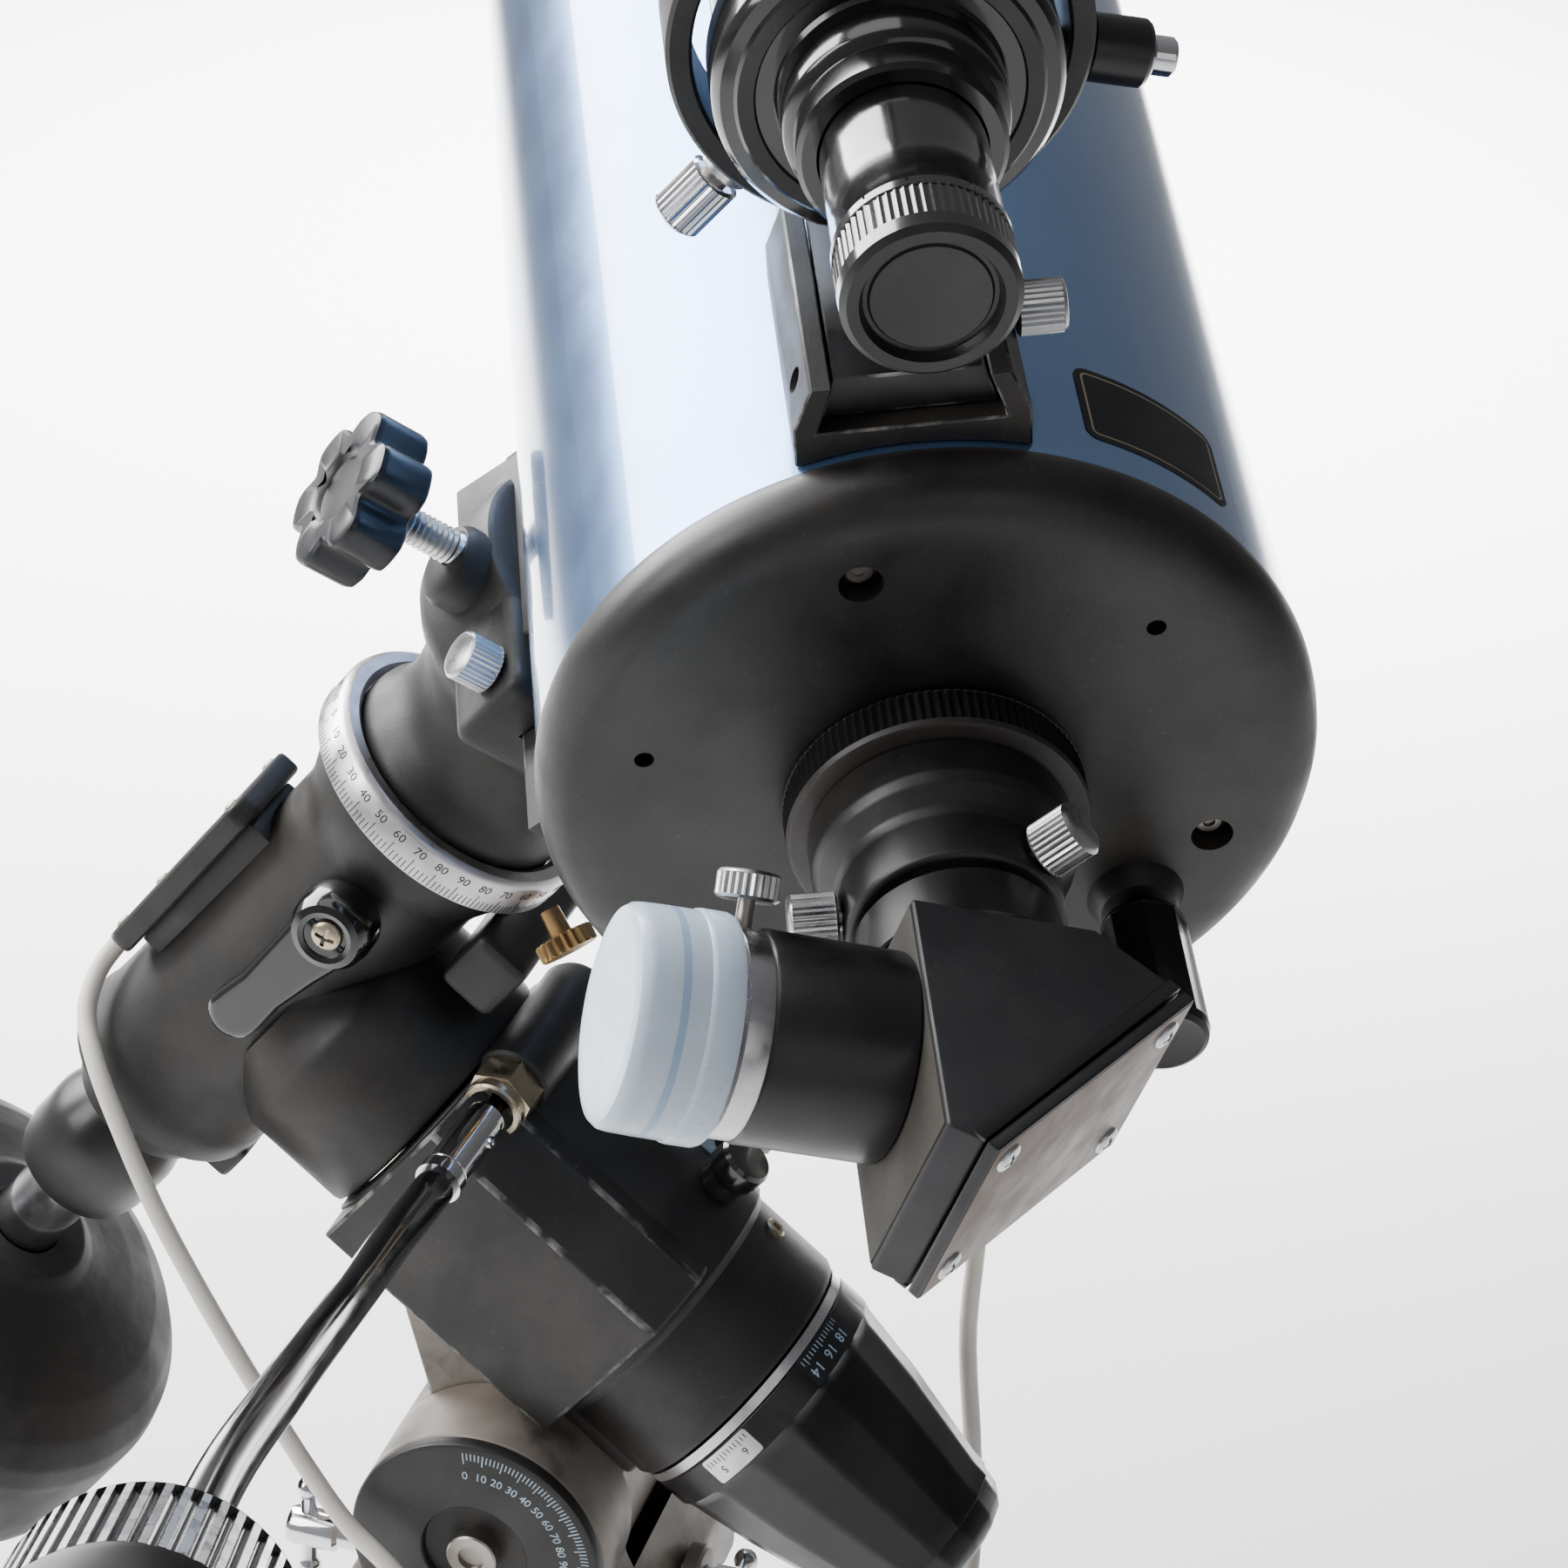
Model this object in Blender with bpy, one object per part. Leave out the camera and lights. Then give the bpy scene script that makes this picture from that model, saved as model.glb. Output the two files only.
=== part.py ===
"""Catadioptric telescope on a German equatorial mount head, from the tripod seat upward."""

import math

import bmesh
import bpy
from mathutils import Matrix, Vector

MM = 0.001

# ---- driving dimensions, millimetres and degrees ----
LATITUDE = 38.0            # tilt of the polar axis above level
DEC_TURN = -62.73          # rest turn of the tube about the declination axis
HUB_HEIGHT = 62.0          # latitude hinge above the tripod seat
HUB_R = 31.0
POLAR_BACK = 128.3         # crossing of the two axes ahead of the hub, along the polar axis
POLAR_RISE = 57.4          # polar axis above the hub
TUBE_HEIGHT = 213.0        # optical axis above the crossing
TUBE_AHEAD = 117.6         # rear end of the tube behind the declination axis
TUBE_R = 72.0
TUBE_WALL = 2.0
TUBE_LEN = 300.0
CELL_DEPTH = 12.0
APERTURE_R = 63.5
FINDER_OFFSET = 132.0      # finder axis from the optical axis
FINDER_CLOCK = -42.0       # finder position round the tube
DIAGONAL_BACK = 80.0       # crossing of eyepiece axis and optical axis behind the tube end
DIAGONAL_CLOCK = 159.4
DEC_R = 26.0
POLAR_R = 35.5
CIRCLE_R = 34.0
SHAFT_R = 9.25
WEIGHT_R = 60.0
CHEEK_IN = 21.2
CHEEK_OUT = 43.0
WORM_BACK = -57.0
WORM_RISE = 33.0
WORM_DIP = 10.0
GAP = 0.3
ROUNDNESS = 0.5            # share of the full number of sides given to plain turned bodies

for old in list(bpy.data.objects):
    bpy.data.objects.remove(old, do_unlink=True)


# ---- materials ----
def material(name, colour, metallic, roughness):
    made = bpy.data.materials.new(name)
    made.use_nodes = True
    shader = made.node_tree.nodes["Principled BSDF"]
    shader.inputs["Base Color"].default_value = (colour[0], colour[1], colour[2], 1.0)
    shader.inputs["Metallic"].default_value = metallic
    shader.inputs["Roughness"].default_value = roughness
    return made


PAINT_BLUE = ("blue", (0.16, 0.30, 0.58), 0.5, 0.25)
BLACK = ("black", (0.02, 0.02, 0.02), 0.2, 0.5)
SATIN = ("satin", (0.03, 0.03, 0.035), 0.1, 0.45)
SILVER = ("silver", (0.62, 0.62, 0.62), 1.0, 0.3)
CHROME = ("chrome", (0.75, 0.75, 0.76), 1.0, 0.12)
BRASS = ("brass", (0.55, 0.42, 0.2), 1.0, 0.3)
GREY = ("grey", (0.35, 0.33, 0.31), 0.2, 0.5)
GLASS = ("glass", (0.7, 0.8, 0.85), 0.0, 0.05)
MIRROR = ("mirror", (0.9, 0.9, 0.9), 1.0, 0.03)
MILK = ("milk", (0.7, 0.78, 0.85), 0.0, 0.35)
CORD = ("cord", (0.75, 0.73, 0.7), 0.0, 0.5)
PLATE = ("plate", (0.18, 0.13, 0.1), 0.7, 0.3)


# ---- builders ----
def finish(obj, parent, loc, rot, stuff, smooth=True):
    obj.location = Vector(loc) * MM
    obj.rotation_euler = [math.radians(a) for a in rot]
    if parent is not None:
        obj.parent = parent
    if stuff is None:
        obj.hide_render = True
        obj.display_type = "WIRE"
    else:
        obj.data.materials.append(material(obj.name + "_" + stuff[0], stuff[1], stuff[2], stuff[3]))
    if smooth and obj.type == "MESH":
        obj.data.shade_smooth()
        obj.data.set_sharp_from_angle(angle=math.radians(32.0))
    bpy.context.scene.collection.objects.link(obj)
    return obj


def frame(name, parent=None, loc=(0, 0, 0), rot=(0, 0, 0)):
    empty = bpy.data.objects.new(name, None)
    empty.location = Vector(loc) * MM
    empty.rotation_euler = [math.radians(a) for a in rot]
    if parent is not None:
        empty.parent = parent
    bpy.context.scene.collection.objects.link(empty)
    return empty


def put(axis, radius, angle, height):
    a = radius * math.cos(angle)
    b = radius * math.sin(angle)
    if axis == "X":
        return (height, a, b)
    if axis == "Y":
        return (a, height, b)
    return (a, b, height)


def lathe(name, axis, profile, parent, stuff, sides=32, loc=(0, 0, 0), rot=(0, 0, 0), closed=False,
          shape=None, turn=0.0):
    """Turned body: profile of (radius, height). closed joins the last point to the first."""
    if shape is None and sides > 8:
        sides = 2 * round(sides * ROUNDNESS / 2.0)
    bm = bmesh.new()
    rings = []
    for radius, height in profile:
        if radius < 1e-6:
            rings.append([bm.verts.new(Vector(put(axis, 0.0, 0.0, height)) * MM)])
            continue
        ring = []
        for i in range(sides):
            angle = 2.0 * math.pi * i / sides + turn
            r = radius if shape is None else radius * shape(i, height)
            ring.append(bm.verts.new(Vector(put(axis, r, angle, height)) * MM))
        rings.append(ring)
    pairs = list(zip(rings[:-1], rings[1:]))
    if closed:
        pairs.append((rings[-1], rings[0]))
    for low, high in pairs:
        for i in range(sides):
            j = (i + 1) % sides
            if len(low) == 1 and len(high) > 1:
                bm.faces.new((low[0], high[i], high[j]))
            elif len(high) == 1 and len(low) > 1:
                bm.faces.new((low[i], low[j], high[0]))
            elif len(low) > 1:
                bm.faces.new((low[i], low[j], high[j], high[i]))
    if not closed:
        for ring in (rings[0], rings[-1]):
            if len(ring) > 1:
                bm.faces.new(ring)
    bmesh.ops.recalc_face_normals(bm, faces=bm.faces)
    data = bpy.data.meshes.new(name)
    bm.to_mesh(data)
    bm.free()
    return finish(bpy.data.objects.new(name, data), parent, loc, rot, stuff)


def rod(name, axis, radius, low, high, parent, stuff, sides=32, loc=(0, 0, 0), rot=(0, 0, 0), bevel=0.0):
    profile = [(0.0, low), (radius - bevel, low), (radius, low + bevel),
               (radius, high - bevel), (radius - bevel, high), (0.0, high)]
    if bevel <= 0.0:
        profile = [(0.0, low), (radius, low), (radius, high), (0.0, high)]
    return lathe(name, axis, profile, parent, stuff, sides, loc, rot)


def pipe(name, axis, outer, inner, low, high, parent, stuff, sides=32, loc=(0, 0, 0), rot=(0, 0, 0)):
    return lathe(name, axis, [(inner, low), (outer, low), (outer, high), (inner, high)],
                 parent, stuff, sides, loc, rot, closed=True)


def prism(name, axis, outline, low, high, parent, stuff, loc=(0, 0, 0), rot=(0, 0, 0), smooth=True):
    """Outline drawn in the two other axes (X: y,z  Y: x,z  Z: x,y), drawn out along axis."""
    bm = bmesh.new()
    ends = []
    for height in (low, high):
        ring = []
        for a, b in outline:
            spot = {"X": (height, a, b), "Y": (a, height, b), "Z": (a, b, height)}[axis]
            ring.append(bm.verts.new(Vector(spot) * MM))
        ends.append(ring)
    count = len(outline)
    for i in range(count):
        j = (i + 1) % count
        bm.faces.new((ends[0][i], ends[0][j], ends[1][j], ends[1][i]))
    bm.faces.new(ends[0])
    bm.faces.new(ends[1])
    bmesh.ops.recalc_face_normals(bm, faces=bm.faces)
    data = bpy.data.meshes.new(name)
    bm.to_mesh(data)
    bm.free()
    return finish(bpy.data.objects.new(name, data), parent, loc, rot, stuff, smooth)


def box(name, low, high, parent, stuff, loc=(0, 0, 0), rot=(0, 0, 0), bevel=0.0):
    outline = [(low[0], low[1]), (high[0], low[1]), (high[0], high[1]), (low[0], high[1])]
    made = prism(name, "Z", outline, low[2], high[2], parent, stuff, loc, rot)
    if bevel > 0.0:
        data = made.data
        bm = bmesh.new()
        bm.from_mesh(data)
        bmesh.ops.bevel(bm, geom=bm.edges, offset=bevel * MM, segments=2, affect="EDGES", profile=0.5)
        bm.to_mesh(data)
        bm.free()
        data.shade_smooth()
        data.set_sharp_from_angle(angle=math.radians(32.0))
    return made


def combine(target, other, operation):
    step = target.modifiers.new(operation.lower(), "BOOLEAN")
    step.operation = operation
    step.solver = "EXACT"
    step.object = other
    return target


def cut(target, other):
    return combine(target, other, "DIFFERENCE")


def join(target, other):
    return combine(target, other, "UNION")


def arc(cx, cy, radius, start, end, steps):
    points = []
    for i in range(steps + 1):
        a = math.radians(start + (end - start) * i / steps)
        points.append((cx + radius * math.cos(a), cy + radius * math.sin(a)))
    return points


def screw(name, axis, parent, stuff, head_r, head_low, head_high, shank_r, tip, loc, rot=(0, 0, 0),
    sides=24):
    """Thumbscrew: round head from head_low to head_high, shank down to tip."""
    edge = 0.5
    profile = [(0.0, tip), (shank_r, tip), (shank_r, head_low), (head_r - edge, head_low),
               (head_r, head_low + edge), (head_r, head_high - edge), (head_r - edge, head_high),
               (0.0, head_high)]
    return lathe(name, axis, profile, parent, stuff, sides, loc, rot)


# ---- frames ----
BASE = frame("frame_base")
LAT = frame("frame_latitude", BASE, (0, 0, HUB_HEIGHT), (LATITUDE, 0, 0))
POL = frame("frame_polar", LAT, (0, POLAR_BACK, POLAR_RISE))
DEC = frame("frame_declination", POL, (0, 0, 0), (0, 0, DEC_TURN))
OTA = frame("frame_tube", DEC, (0, -TUBE_AHEAD, TUBE_HEIGHT))
FND = frame("frame_finder_side", OTA, (0, 0, 0), (0, FINDER_CLOCK, 0))
DIA = frame("frame_diagonal", OTA, (0, -DIAGONAL_BACK, 0), (0, DIAGONAL_CLOCK, 0))

# ---- azimuth base ----
rod("azimuth_plate", "Z", 38.0, 0.0, 8.0, BASE, BLACK, 48, bevel=1.0)

CHEEK = [(-40.0, 8.3), (40.0, 8.3), (40.0, 30.0)]
CHEEK = CHEEK + arc(0.0, HUB_HEIGHT, HUB_R, -18.0, 198.0, 18) + [(-40.0, 30.0)]
base = prism("azimuth_base", "X", CHEEK, -CHEEK_OUT, CHEEK_OUT, BASE, GREY)
cut(base, box("cut_fork", (-CHEEK_IN, -32.0, 12.5), (CHEEK_IN, 32.0, 120.0), BASE, None))
cut(base, box("cut_fork_front", (-CHEEK_IN, -60.0, 50.0), (CHEEK_IN, 60.0, 121.0), BASE, None))
cut(base, rod("cut_hinge", "X", 6.3, -60.0, 60.0, BASE, None, 24, (0, 0, HUB_HEIGHT)))
cut(base, rod("cut_bolt_north", "Y", 4.1, 28.0, 60.0, BASE, None, 20, (0, 0, 20.0)))
cut(base, rod("cut_bolt_south", "Y", 4.1, -60.0, -28.0, BASE, None, 20, (0, 0, 30.0)))

lathe("latitude_axle", "X", [(0.0, -43.0), (6.0, -43.0), (6.0, 43.3), (26.0, 43.3), (26.0, 46.0),
    (22.0, 49.0), (9.0, 49.0), (8.0, 53.0), (0.0, 53.0)], BASE, BLACK, 40, (0, 0, HUB_HEIGHT))
lathe("latitude_scale_cap", "X", [(0.0, -44.6), (12.5, -44.6), (13.0, -46.6), (29.6, -46.6), (HUB_R, -45.6),
                                  (HUB_R, -43.3), (0.0, -43.3)], BASE, BLACK, 48, (0, 0, HUB_HEIGHT))
for side, sign in (("west", -1.0), ("east", 1.0)):
    screw("azimuth_knob_" + side, "X", BASE, BLACK, 11.0, 47.0, 61.0, 3.9, 43.3 + 0.3, (0, 26.0, 20.0),
          (0, 0, 0 if sign > 0 else 180.0), 20)


def t_bolt(name, loc, turn, tip, collar, handle, length, lean=0.0):
    """Bolt along local Y with a ball-ended cross bar."""
    body = lathe(name, "Y", [(0.0, tip), (3.9, tip), (3.9, collar), (5.2, collar + 1.0),
        (5.2, handle + 3.5), (3.5, handle + 5.0), (0.0, handle + 5.0)], BASE, CHROME, 20, loc,
        (0, 0, turn))
    bar = lathe(name + "_bar", "Z", [(0.0, -length - 3.0), (2.0, -length - 2.2), (3.1, -length),
        (2.0, -length + 2.6), (2.0, length - 2.6), (3.1, length), (2.0, length + 2.2),
        (0.0, length + 3.0)], BASE, None, 12, loc, (0, lean, turn))
    shift = Matrix.Rotation(math.radians(turn), 4, "Z") @ Vector((0, handle * MM, 0))
    bar.location = bar.location + shift
    return join(body, bar)


t_bolt("latitude_bolt_north", (0, 0, 20.0), 0.0, 13.3, 52.0, 61.0, 12.0)
t_bolt("latitude_bolt_south", (0, 0, 30.0), 180.0, 27.0, 46.0, 51.5, 11.0, 90.0)

# ---- polar housing, tilts with latitude ----
BARREL = [(0.0, -147.0), (31.5, -147.0), (33.5, -145.0), (33.5, -122.5), (POLAR_R, -120.0),
          (POLAR_R, -51.0), (POLAR_R - 1.5, -49.5), (0.0, -49.5)]
housing = lathe("polar_housing", "Y", BARREL, POL, BLACK, 48)
cut(housing, box("cut_under", (-60, -160, -60), (60, -40, -25.0), POL, None))
NECK = [(-62.0, -20.0), (-97.6, -52.0)] + arc(-POLAR_BACK, -POLAR_RISE, HUB_R - 0.4, 10.0, -190.0, 16)
NECK = NECK + [(-143.5, -34.5), (-143.5, -20.0)]
neck = prism("add_neck", "X", NECK, -CHEEK_IN + 0.5, CHEEK_IN - 0.5, POL, None)
join(housing, neck)
join(housing, prism("add_tail", "X", [(-10.0, -48.0), (10.0, -48.0), (10.0, -20.0), (-10.0, -20.0)],
    -10.0, 10.0, BASE, None, (0, 0, HUB_HEIGHT)))
join(housing, lathe("add_worm_nut", "X", [(0.0, -29.5), (8.3, -29.5), (8.3, -14.0), (0.0, -14.0)], POL,
    None, 6, (0, WORM_BACK, WORM_RISE), (0, -WORM_DIP, 0)))
join(housing, rod("add_worm_box", "X", 7.4, -18.0, 20.0, POL, None, 24, (0, WORM_BACK, WORM_RISE),
    (0, -WORM_DIP, 0)))
cut(housing, rod("cut_bore", "Y", 16.4, -160.0, -60.0, POL, None, 32))
cut(housing, rod("cut_wheel", "Y", 28.6, -64.0, -40.0, POL, None, 48))
cut(housing, rod("cut_worm_neck", "X", 3.2, -40.0, 0.0, POL, None, 20, (0, WORM_BACK, WORM_RISE),
    (0, -WORM_DIP, 0)))
cut(housing, rod("cut_worm", "X", 5.9, -12.0, 16.0, POL, None, 20, (0, WORM_BACK, WORM_RISE),
    (0, -WORM_DIP, 0)))
cut(housing, rod("cut_hub", "X", 6.3, -60.0, 60.0, POL, None, 24, (0, -POLAR_BACK, -POLAR_RISE)))

pipe("polar_circle", "Y", 33.0, 17.0, -149.7, -147.3, POL, SILVER, 48)


def facets(i, height):
    return 1.0 if (i % 2) == 0 else 0.955


lathe("polar_cap", "Y", [(0.0, -217.0), (16.0, -216.2), (21.2, -213.0), (28.8, -178.0), (32.4, -157.0),
    (32.4, -150.0), (29.0, -150.0), (26.5, -177.0), (19.0, -211.0), (0.0, -211.6)], POL, SATIN, 32,
    shape=facets)
lever = lathe("polar_clamp_lever", "Z", [(0.0, 36.0), (5.0, 36.0), (5.0, 40.0), (6.5, 41.0), (6.5, 47.0),
    (0.0, 47.5)], POL, BLACK, 20, (0, -110.0, 0), (0, 0, 0))
arm = box("add_polar_arm", (-3.5, -4.0, 41.5), (3.5, 26.0, 46.5), POL, None, (0, -110.0, 0),
    (0, 0, -50.0), 1.0)
join(lever, arm)

worm_rot = (0, -WORM_DIP, 0)
WRM = frame("frame_worm", POL, (0, WORM_BACK, WORM_RISE), worm_rot)
lathe("polar_worm", "X", [(0.0, -52.0), (5.1, -52.0), (5.1, -31.0), (2.8, -30.5), (2.8, -10.0),
    (5.2, -9.0), (5.2, 9.0), (2.8, 10.0), (2.8, 14.0), (0.0, 14.0)], WRM, SILVER, 24)

# slow-motion flexible shaft from the ferrule towards the west, and its grip
SHAFT_ROUTE = [(-52.4, 0.0, 0.0), (-58.0, 0.0, 0.2), (-67.0, 0.5, 2.6), (-90.0, 2.5, 14.0),
    (-118.0, 5.0, 32.0), (-146.0, 8.0, 52.0), (-195.0, 13.0, 86.0), (-243.0, 17.0, 118.0),
    (-300.5, 17.8, 158.2)]


def spline(points, count):
    out = []
    last = len(points) - 1
    for i in range(count):
        u = i * last / (count - 1.0)
        k = min(int(u), last - 1)
        w = u - k
        p1 = Vector(points[k])
        p2 = Vector(points[k + 1])
        p0 = Vector(points[k - 1]) if k > 0 else p1 * 2.0 - p2
        p3 = Vector(points[k + 2]) if k + 2 <= last else p2 * 2.0 - p1
        spot = 0.5 * (p1 * 2.0 + (p2 - p0) * w + (p0 * 2.0 - p1 * 5.0 + p2 * 4.0 - p3) * w * w
                      + (p1 * 3.0 - p0 - p2 * 3.0 + p3) * w * w * w)
        out.append(spot)
    return out


def tube_along(name, points, radius, parent, stuff, resolution=3):
    curve = bpy.data.curves.new(name, "CURVE")
    curve.dimensions = "3D"
    curve.bevel_depth = radius * MM
    curve.bevel_resolution = resolution
    curve.use_fill_caps = True
    line = curve.splines.new("POLY")
    line.points.add(len(points) - 1)
    for place, spot in zip(line.points, points):
        place.co = (spot[0] * MM, spot[1] * MM, spot[2] * MM, 1.0)
    return finish(bpy.data.objects.new(name, curve), parent, (0, 0, 0), (0, 0, 0), stuff, False)


shaft_line = spline(SHAFT_ROUTE, 22)
tube_along("slow_motion_shaft", shaft_line, 4.6, WRM, BLACK, 3)
end = Vector(SHAFT_ROUTE[-1])
way = (end - Vector(SHAFT_ROUTE[-2])).normalized()
GRIP = frame("frame_grip", WRM, end + way * 0.3)
GRIP.rotation_euler = way.to_track_quat("Y", "Z").to_euler()
lathe("slow_motion_knob", "Y", [(0.0, 0.0), (21.5, 0.0), (23.5, 1.5), (23.5, 31.0), (21.0, 34.0),
    (0.0, 34.0)], GRIP, BLACK, 36)

# ---- moving head, turns about the polar axis ----
head = lathe("declination_housing", "Z", [(0.0, -60.0), (16.0, -60.0), (19.0, -58.0), (22.0, -49.0),
    (26.6, -48.0), (26.6, -40.0), (DEC_R, -38.0), (25.0, 20.0), (25.0, 48.0), (28.0, 56.0), (28.0, 62.0),
    (0.0, 62.0)], POL, BLACK, 48)
join(head, lathe("add_polar_end", "Y", [(0.0, -49.0), (32.0, -49.0), (33.5, -47.5), (33.5, -20.0),
    (26.0, -8.0), (0.0, -8.0)], POL, None, 48))
join(head, box("add_foot", (-8.0, -24.0, -56.0), (8.0, 4.0, -46.0), POL, None, bevel=2.0))
cut(head, rod("cut_polar_socket", "Y", 16.3, -60.0, -24.0, POL, None, 32))
cut(head, rod("cut_dec_bore", "Z", 12.4, -80.0, 80.0, POL, None, 32))

pipe("polar_shaft", "Y", 16.0, 12.0, -146.5, -24.3, POL, SILVER, 32)
pipe("polar_worm_wheel", "Y", 27.3, 16.3, -61.0, -53.0, POL, BRASS, 48)
motor = box("declination_motor_box", (-18.0, 26.9, -19.0), (12.0, 33.0, 37.0), POL, BLACK, (0, 0, 0),
    (0, 0, 0), 1.2)
lathe("shaft_collar", "Z", [(9.6, -92.0), (13.0, -92.0), (16.0, -89.5), (17.3, -84.0), (17.3, -72.0),
    (15.0, -62.5), (13.0, -60.3), (9.6, -60.3)], POL, BLACK, 40, closed=True)
lathe("counterweight_shaft", "Z", [(0.0, -316.0), (9.0, -316.0), (13.0, -313.0), (13.0, -304.0),
    (12.0, -302.3), (SHAFT_R, -302.3), (SHAFT_R, -63.0), (0.0, -63.0)], POL, CHROME, 32)
lathe("counterweight", "Z", [(9.7, -114.0), (17.0, -114.0), (21.0, -117.0), (44.0, -125.0),
    (56.0, -134.0), (WEIGHT_R, -143.0), (WEIGHT_R, -168.0), (56.0, -176.0), (44.0, -180.0),
    (9.7, -180.0)], POL, BLACK, 56, closed=True)
weight = bpy.data.objects["counterweight"]
cut(weight, rod("cut_weight_screw", "Y", 5.2, 8.0, 70.0, POL, None, 20, (0, 0, -155.0)))
screw("counterweight_screw", "Y", POL, SILVER, 9.0, 61.0, 73.0, 4.9, 10.2, (0, 0, -155.0), sides=24)
clamp = lathe("declination_clamp_lever", "X", [(0.0, -37.0), (6.5, -37.0), (9.5, -34.5), (9.8, -27.0),
    (5.0, -26.3), (0.0, -26.3)], POL, BLACK, 28, (0, -2.0, 39.0))
join(clamp, prism("add_dec_arm", "X", [(-7.0, 0.0), (-4.5, -34.0), (-1.5, -40.0), (2.5, -40.0),
    (5.5, -34.0), (7.0, 0.0)], -36.0, -29.5, POL, None, (0, -2.0, 39.0), (4.0, 0, 0)))

# ---- saddle side, turns about the declination axis ----
lathe("declination_circle", "Z", [(28.4, 64.0), (CIRCLE_R, 64.0), (CIRCLE_R, 73.0), (32.5, 74.5),
    (29.6, 74.5), (28.4, 73.0)], POL, SILVER, 56, closed=True)
PILLAR = [(0.0, -59.5), (12.0, -59.5), (12.0, 62.4), (24.0, 62.4), (28.0, 64.4), (28.0, 76.0), (26.5, 79.0),
          (25.0, 86.0), (26.5, 95.0), (31.0, 102.5), (37.5, 108.0), (38.0, 110.0), (38.0, 132.0), (36.5, 134.0),
          (0.0, 134.0)]
saddle = lathe("saddle", "Z", PILLAR, DEC, BLACK, 48)
join(saddle, box("add_block", (-33.0, -46.0, 112.0), (33.0, 16.0, 134.0), DEC, None, bevel=3.0))
join(saddle, rod("add_knob_boss", "X", 9.5, -42.0, 0.0, DEC, None, 24, (0, -5.0, 123.0)))
cut(saddle, prism("cut_slot", "Y", [(-22.9, 121.5), (22.9, 121.5), (20.2, 136.0), (-20.2, 136.0)], -70.0,
    70.0, DEC, None))
cut(saddle, rod("cut_knob_hole", "X", 4.3, -60.0, -10.0, DEC, None, 20, (0, -5.0, 128.0)))
cut(saddle, rod("cut_safety_hole", "X", 3.3, -60.0, -10.0, DEC, None, 20, (0, -37.0, 127.0)))


def lobes(i, height):
    return 1.0 - 0.17 * (0.5 - 0.5 * math.cos(2.0 * math.pi * i / 6.0))


lathe("saddle_knob", "X", [(0.0, -71.3), (8.0, -71.3), (9.0, -72.8), (15.8, -72.8), (18.0, -70.8),
    (18.0, -61.5), (16.0, -59.5), (6.5, -59.0), (4.0, -58.2), (4.0, -24.2), (0.0, -24.2)], DEC, SATIN, 36,
    (0, -5.0, 128.0), shape=lambda i, h: lobes(i, h) if h < -59.2 else 1.0)
screw("saddle_screw", "X", DEC, SILVER, 5.4, 33.6, 42.0, 3.0, 24.2, (0, -37.0, 127.0), (0, 0, 180.0), 24)
bar = prism("dovetail_bar", "Y", [(-22.4, 122.0), (22.4, 122.0), (19.6, 136.5), (17.0, 145.0),
    (-17.0, 145.0), (-19.6, 136.5)], -74.0, 46.0, DEC, BLACK)
cut(bar, rod("cut_tube_bed", "Y", TUBE_R + GAP, -200.0, 300.0, OTA, None, 96))

# ---- optical tube ----
pipe("main_tube", "Y", TUBE_R, TUBE_R - TUBE_WALL, 0.3, TUBE_LEN, OTA, PAINT_BLUE, 96)
rear = lathe("rear_cell", "Y", [(15.4, -8.5), (15.4, -12.0), (64.0, -12.0), (68.0, -11.2), (71.0, -8.8),
    (72.6, -5.0), (72.6, 0.0), (69.7, 0.0), (69.7, 10.0), (66.0, 10.0), (64.0, -5.0), (18.0, -5.0),
    (18.0, -8.5)], OTA, BLACK, 96, closed=True)
join(rear, lathe("add_focus_boss", "Y", [(0.0, -16.5), (5.5, -16.5), (7.6, -15.0), (7.6, -8.0),
    (0.0, -8.0)], OTA, None, 28, (49.0, 0, 2.0)))
for k in range(3):
    for clock, radius, depth, title in ((24.0, 4.0, -8.5, "cut_push"), (84.0, 1.7, -9.5, "cut_pull")):
        a = math.radians(clock + 120.0 * k)
        cut(rear, rod(title + str(k), "Y", radius, -20.0, depth, OTA, None, 16,
                      (54.7 * math.cos(a), 0, 54.7 * math.sin(a))))
cut(rear, rod("cut_focus", "Y", 3.3, -20.0, 10.0, OTA, None, 16, (49.0, 0, 2.0)))
lathe("focus_knob", "Y", [(0.0, -50.0), (6.0, -50.0), (7.0, -49.0), (7.0, -21.0), (6.2, -19.5),
    (3.0, -19.0), (3.0, 8.0), (0.0, 8.0)], OTA, BLACK, 24, (49.0, 0, 2.0))
lathe("primary_baffle", "Y", [(15.0, -8.0), (17.6, -8.0), (17.6, -1.0), (16.2, 0.0), (14.5, 170.0),
    (13.3, 170.0)], OTA, SATIN, 40, closed=True)
lathe("primary_mirror", "Y", [(17.2, 16.0), (64.0, 16.0), (65.5, 17.5), (65.5, 34.0), (50.0, 30.5),
    (34.0, 27.6), (17.2, 26.0)], OTA, MIRROR, 64, closed=True)
lathe("front_cell", "Y", [(65.8, 288.0), (69.7, 288.0), (69.7, TUBE_LEN + 0.3), (73.2, TUBE_LEN + 0.3),
    (73.2, 321.0), (71.5, 323.0), (APERTURE_R, 323.0), (APERTURE_R, 318.3), (65.8, 318.3)], OTA, BLACK,
    96, closed=True)
lathe("corrector_lens", "Y", [(0.0, 300.0), (20.0, 300.9), (40.0, 303.6), (56.0, 307.4), (65.4, 307.4),
    (65.4, 318.0), (60.0, 317.6), (40.0, 313.6), (20.0, 311.1), (0.0, 310.3)], OTA, GLASS, 64)

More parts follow.
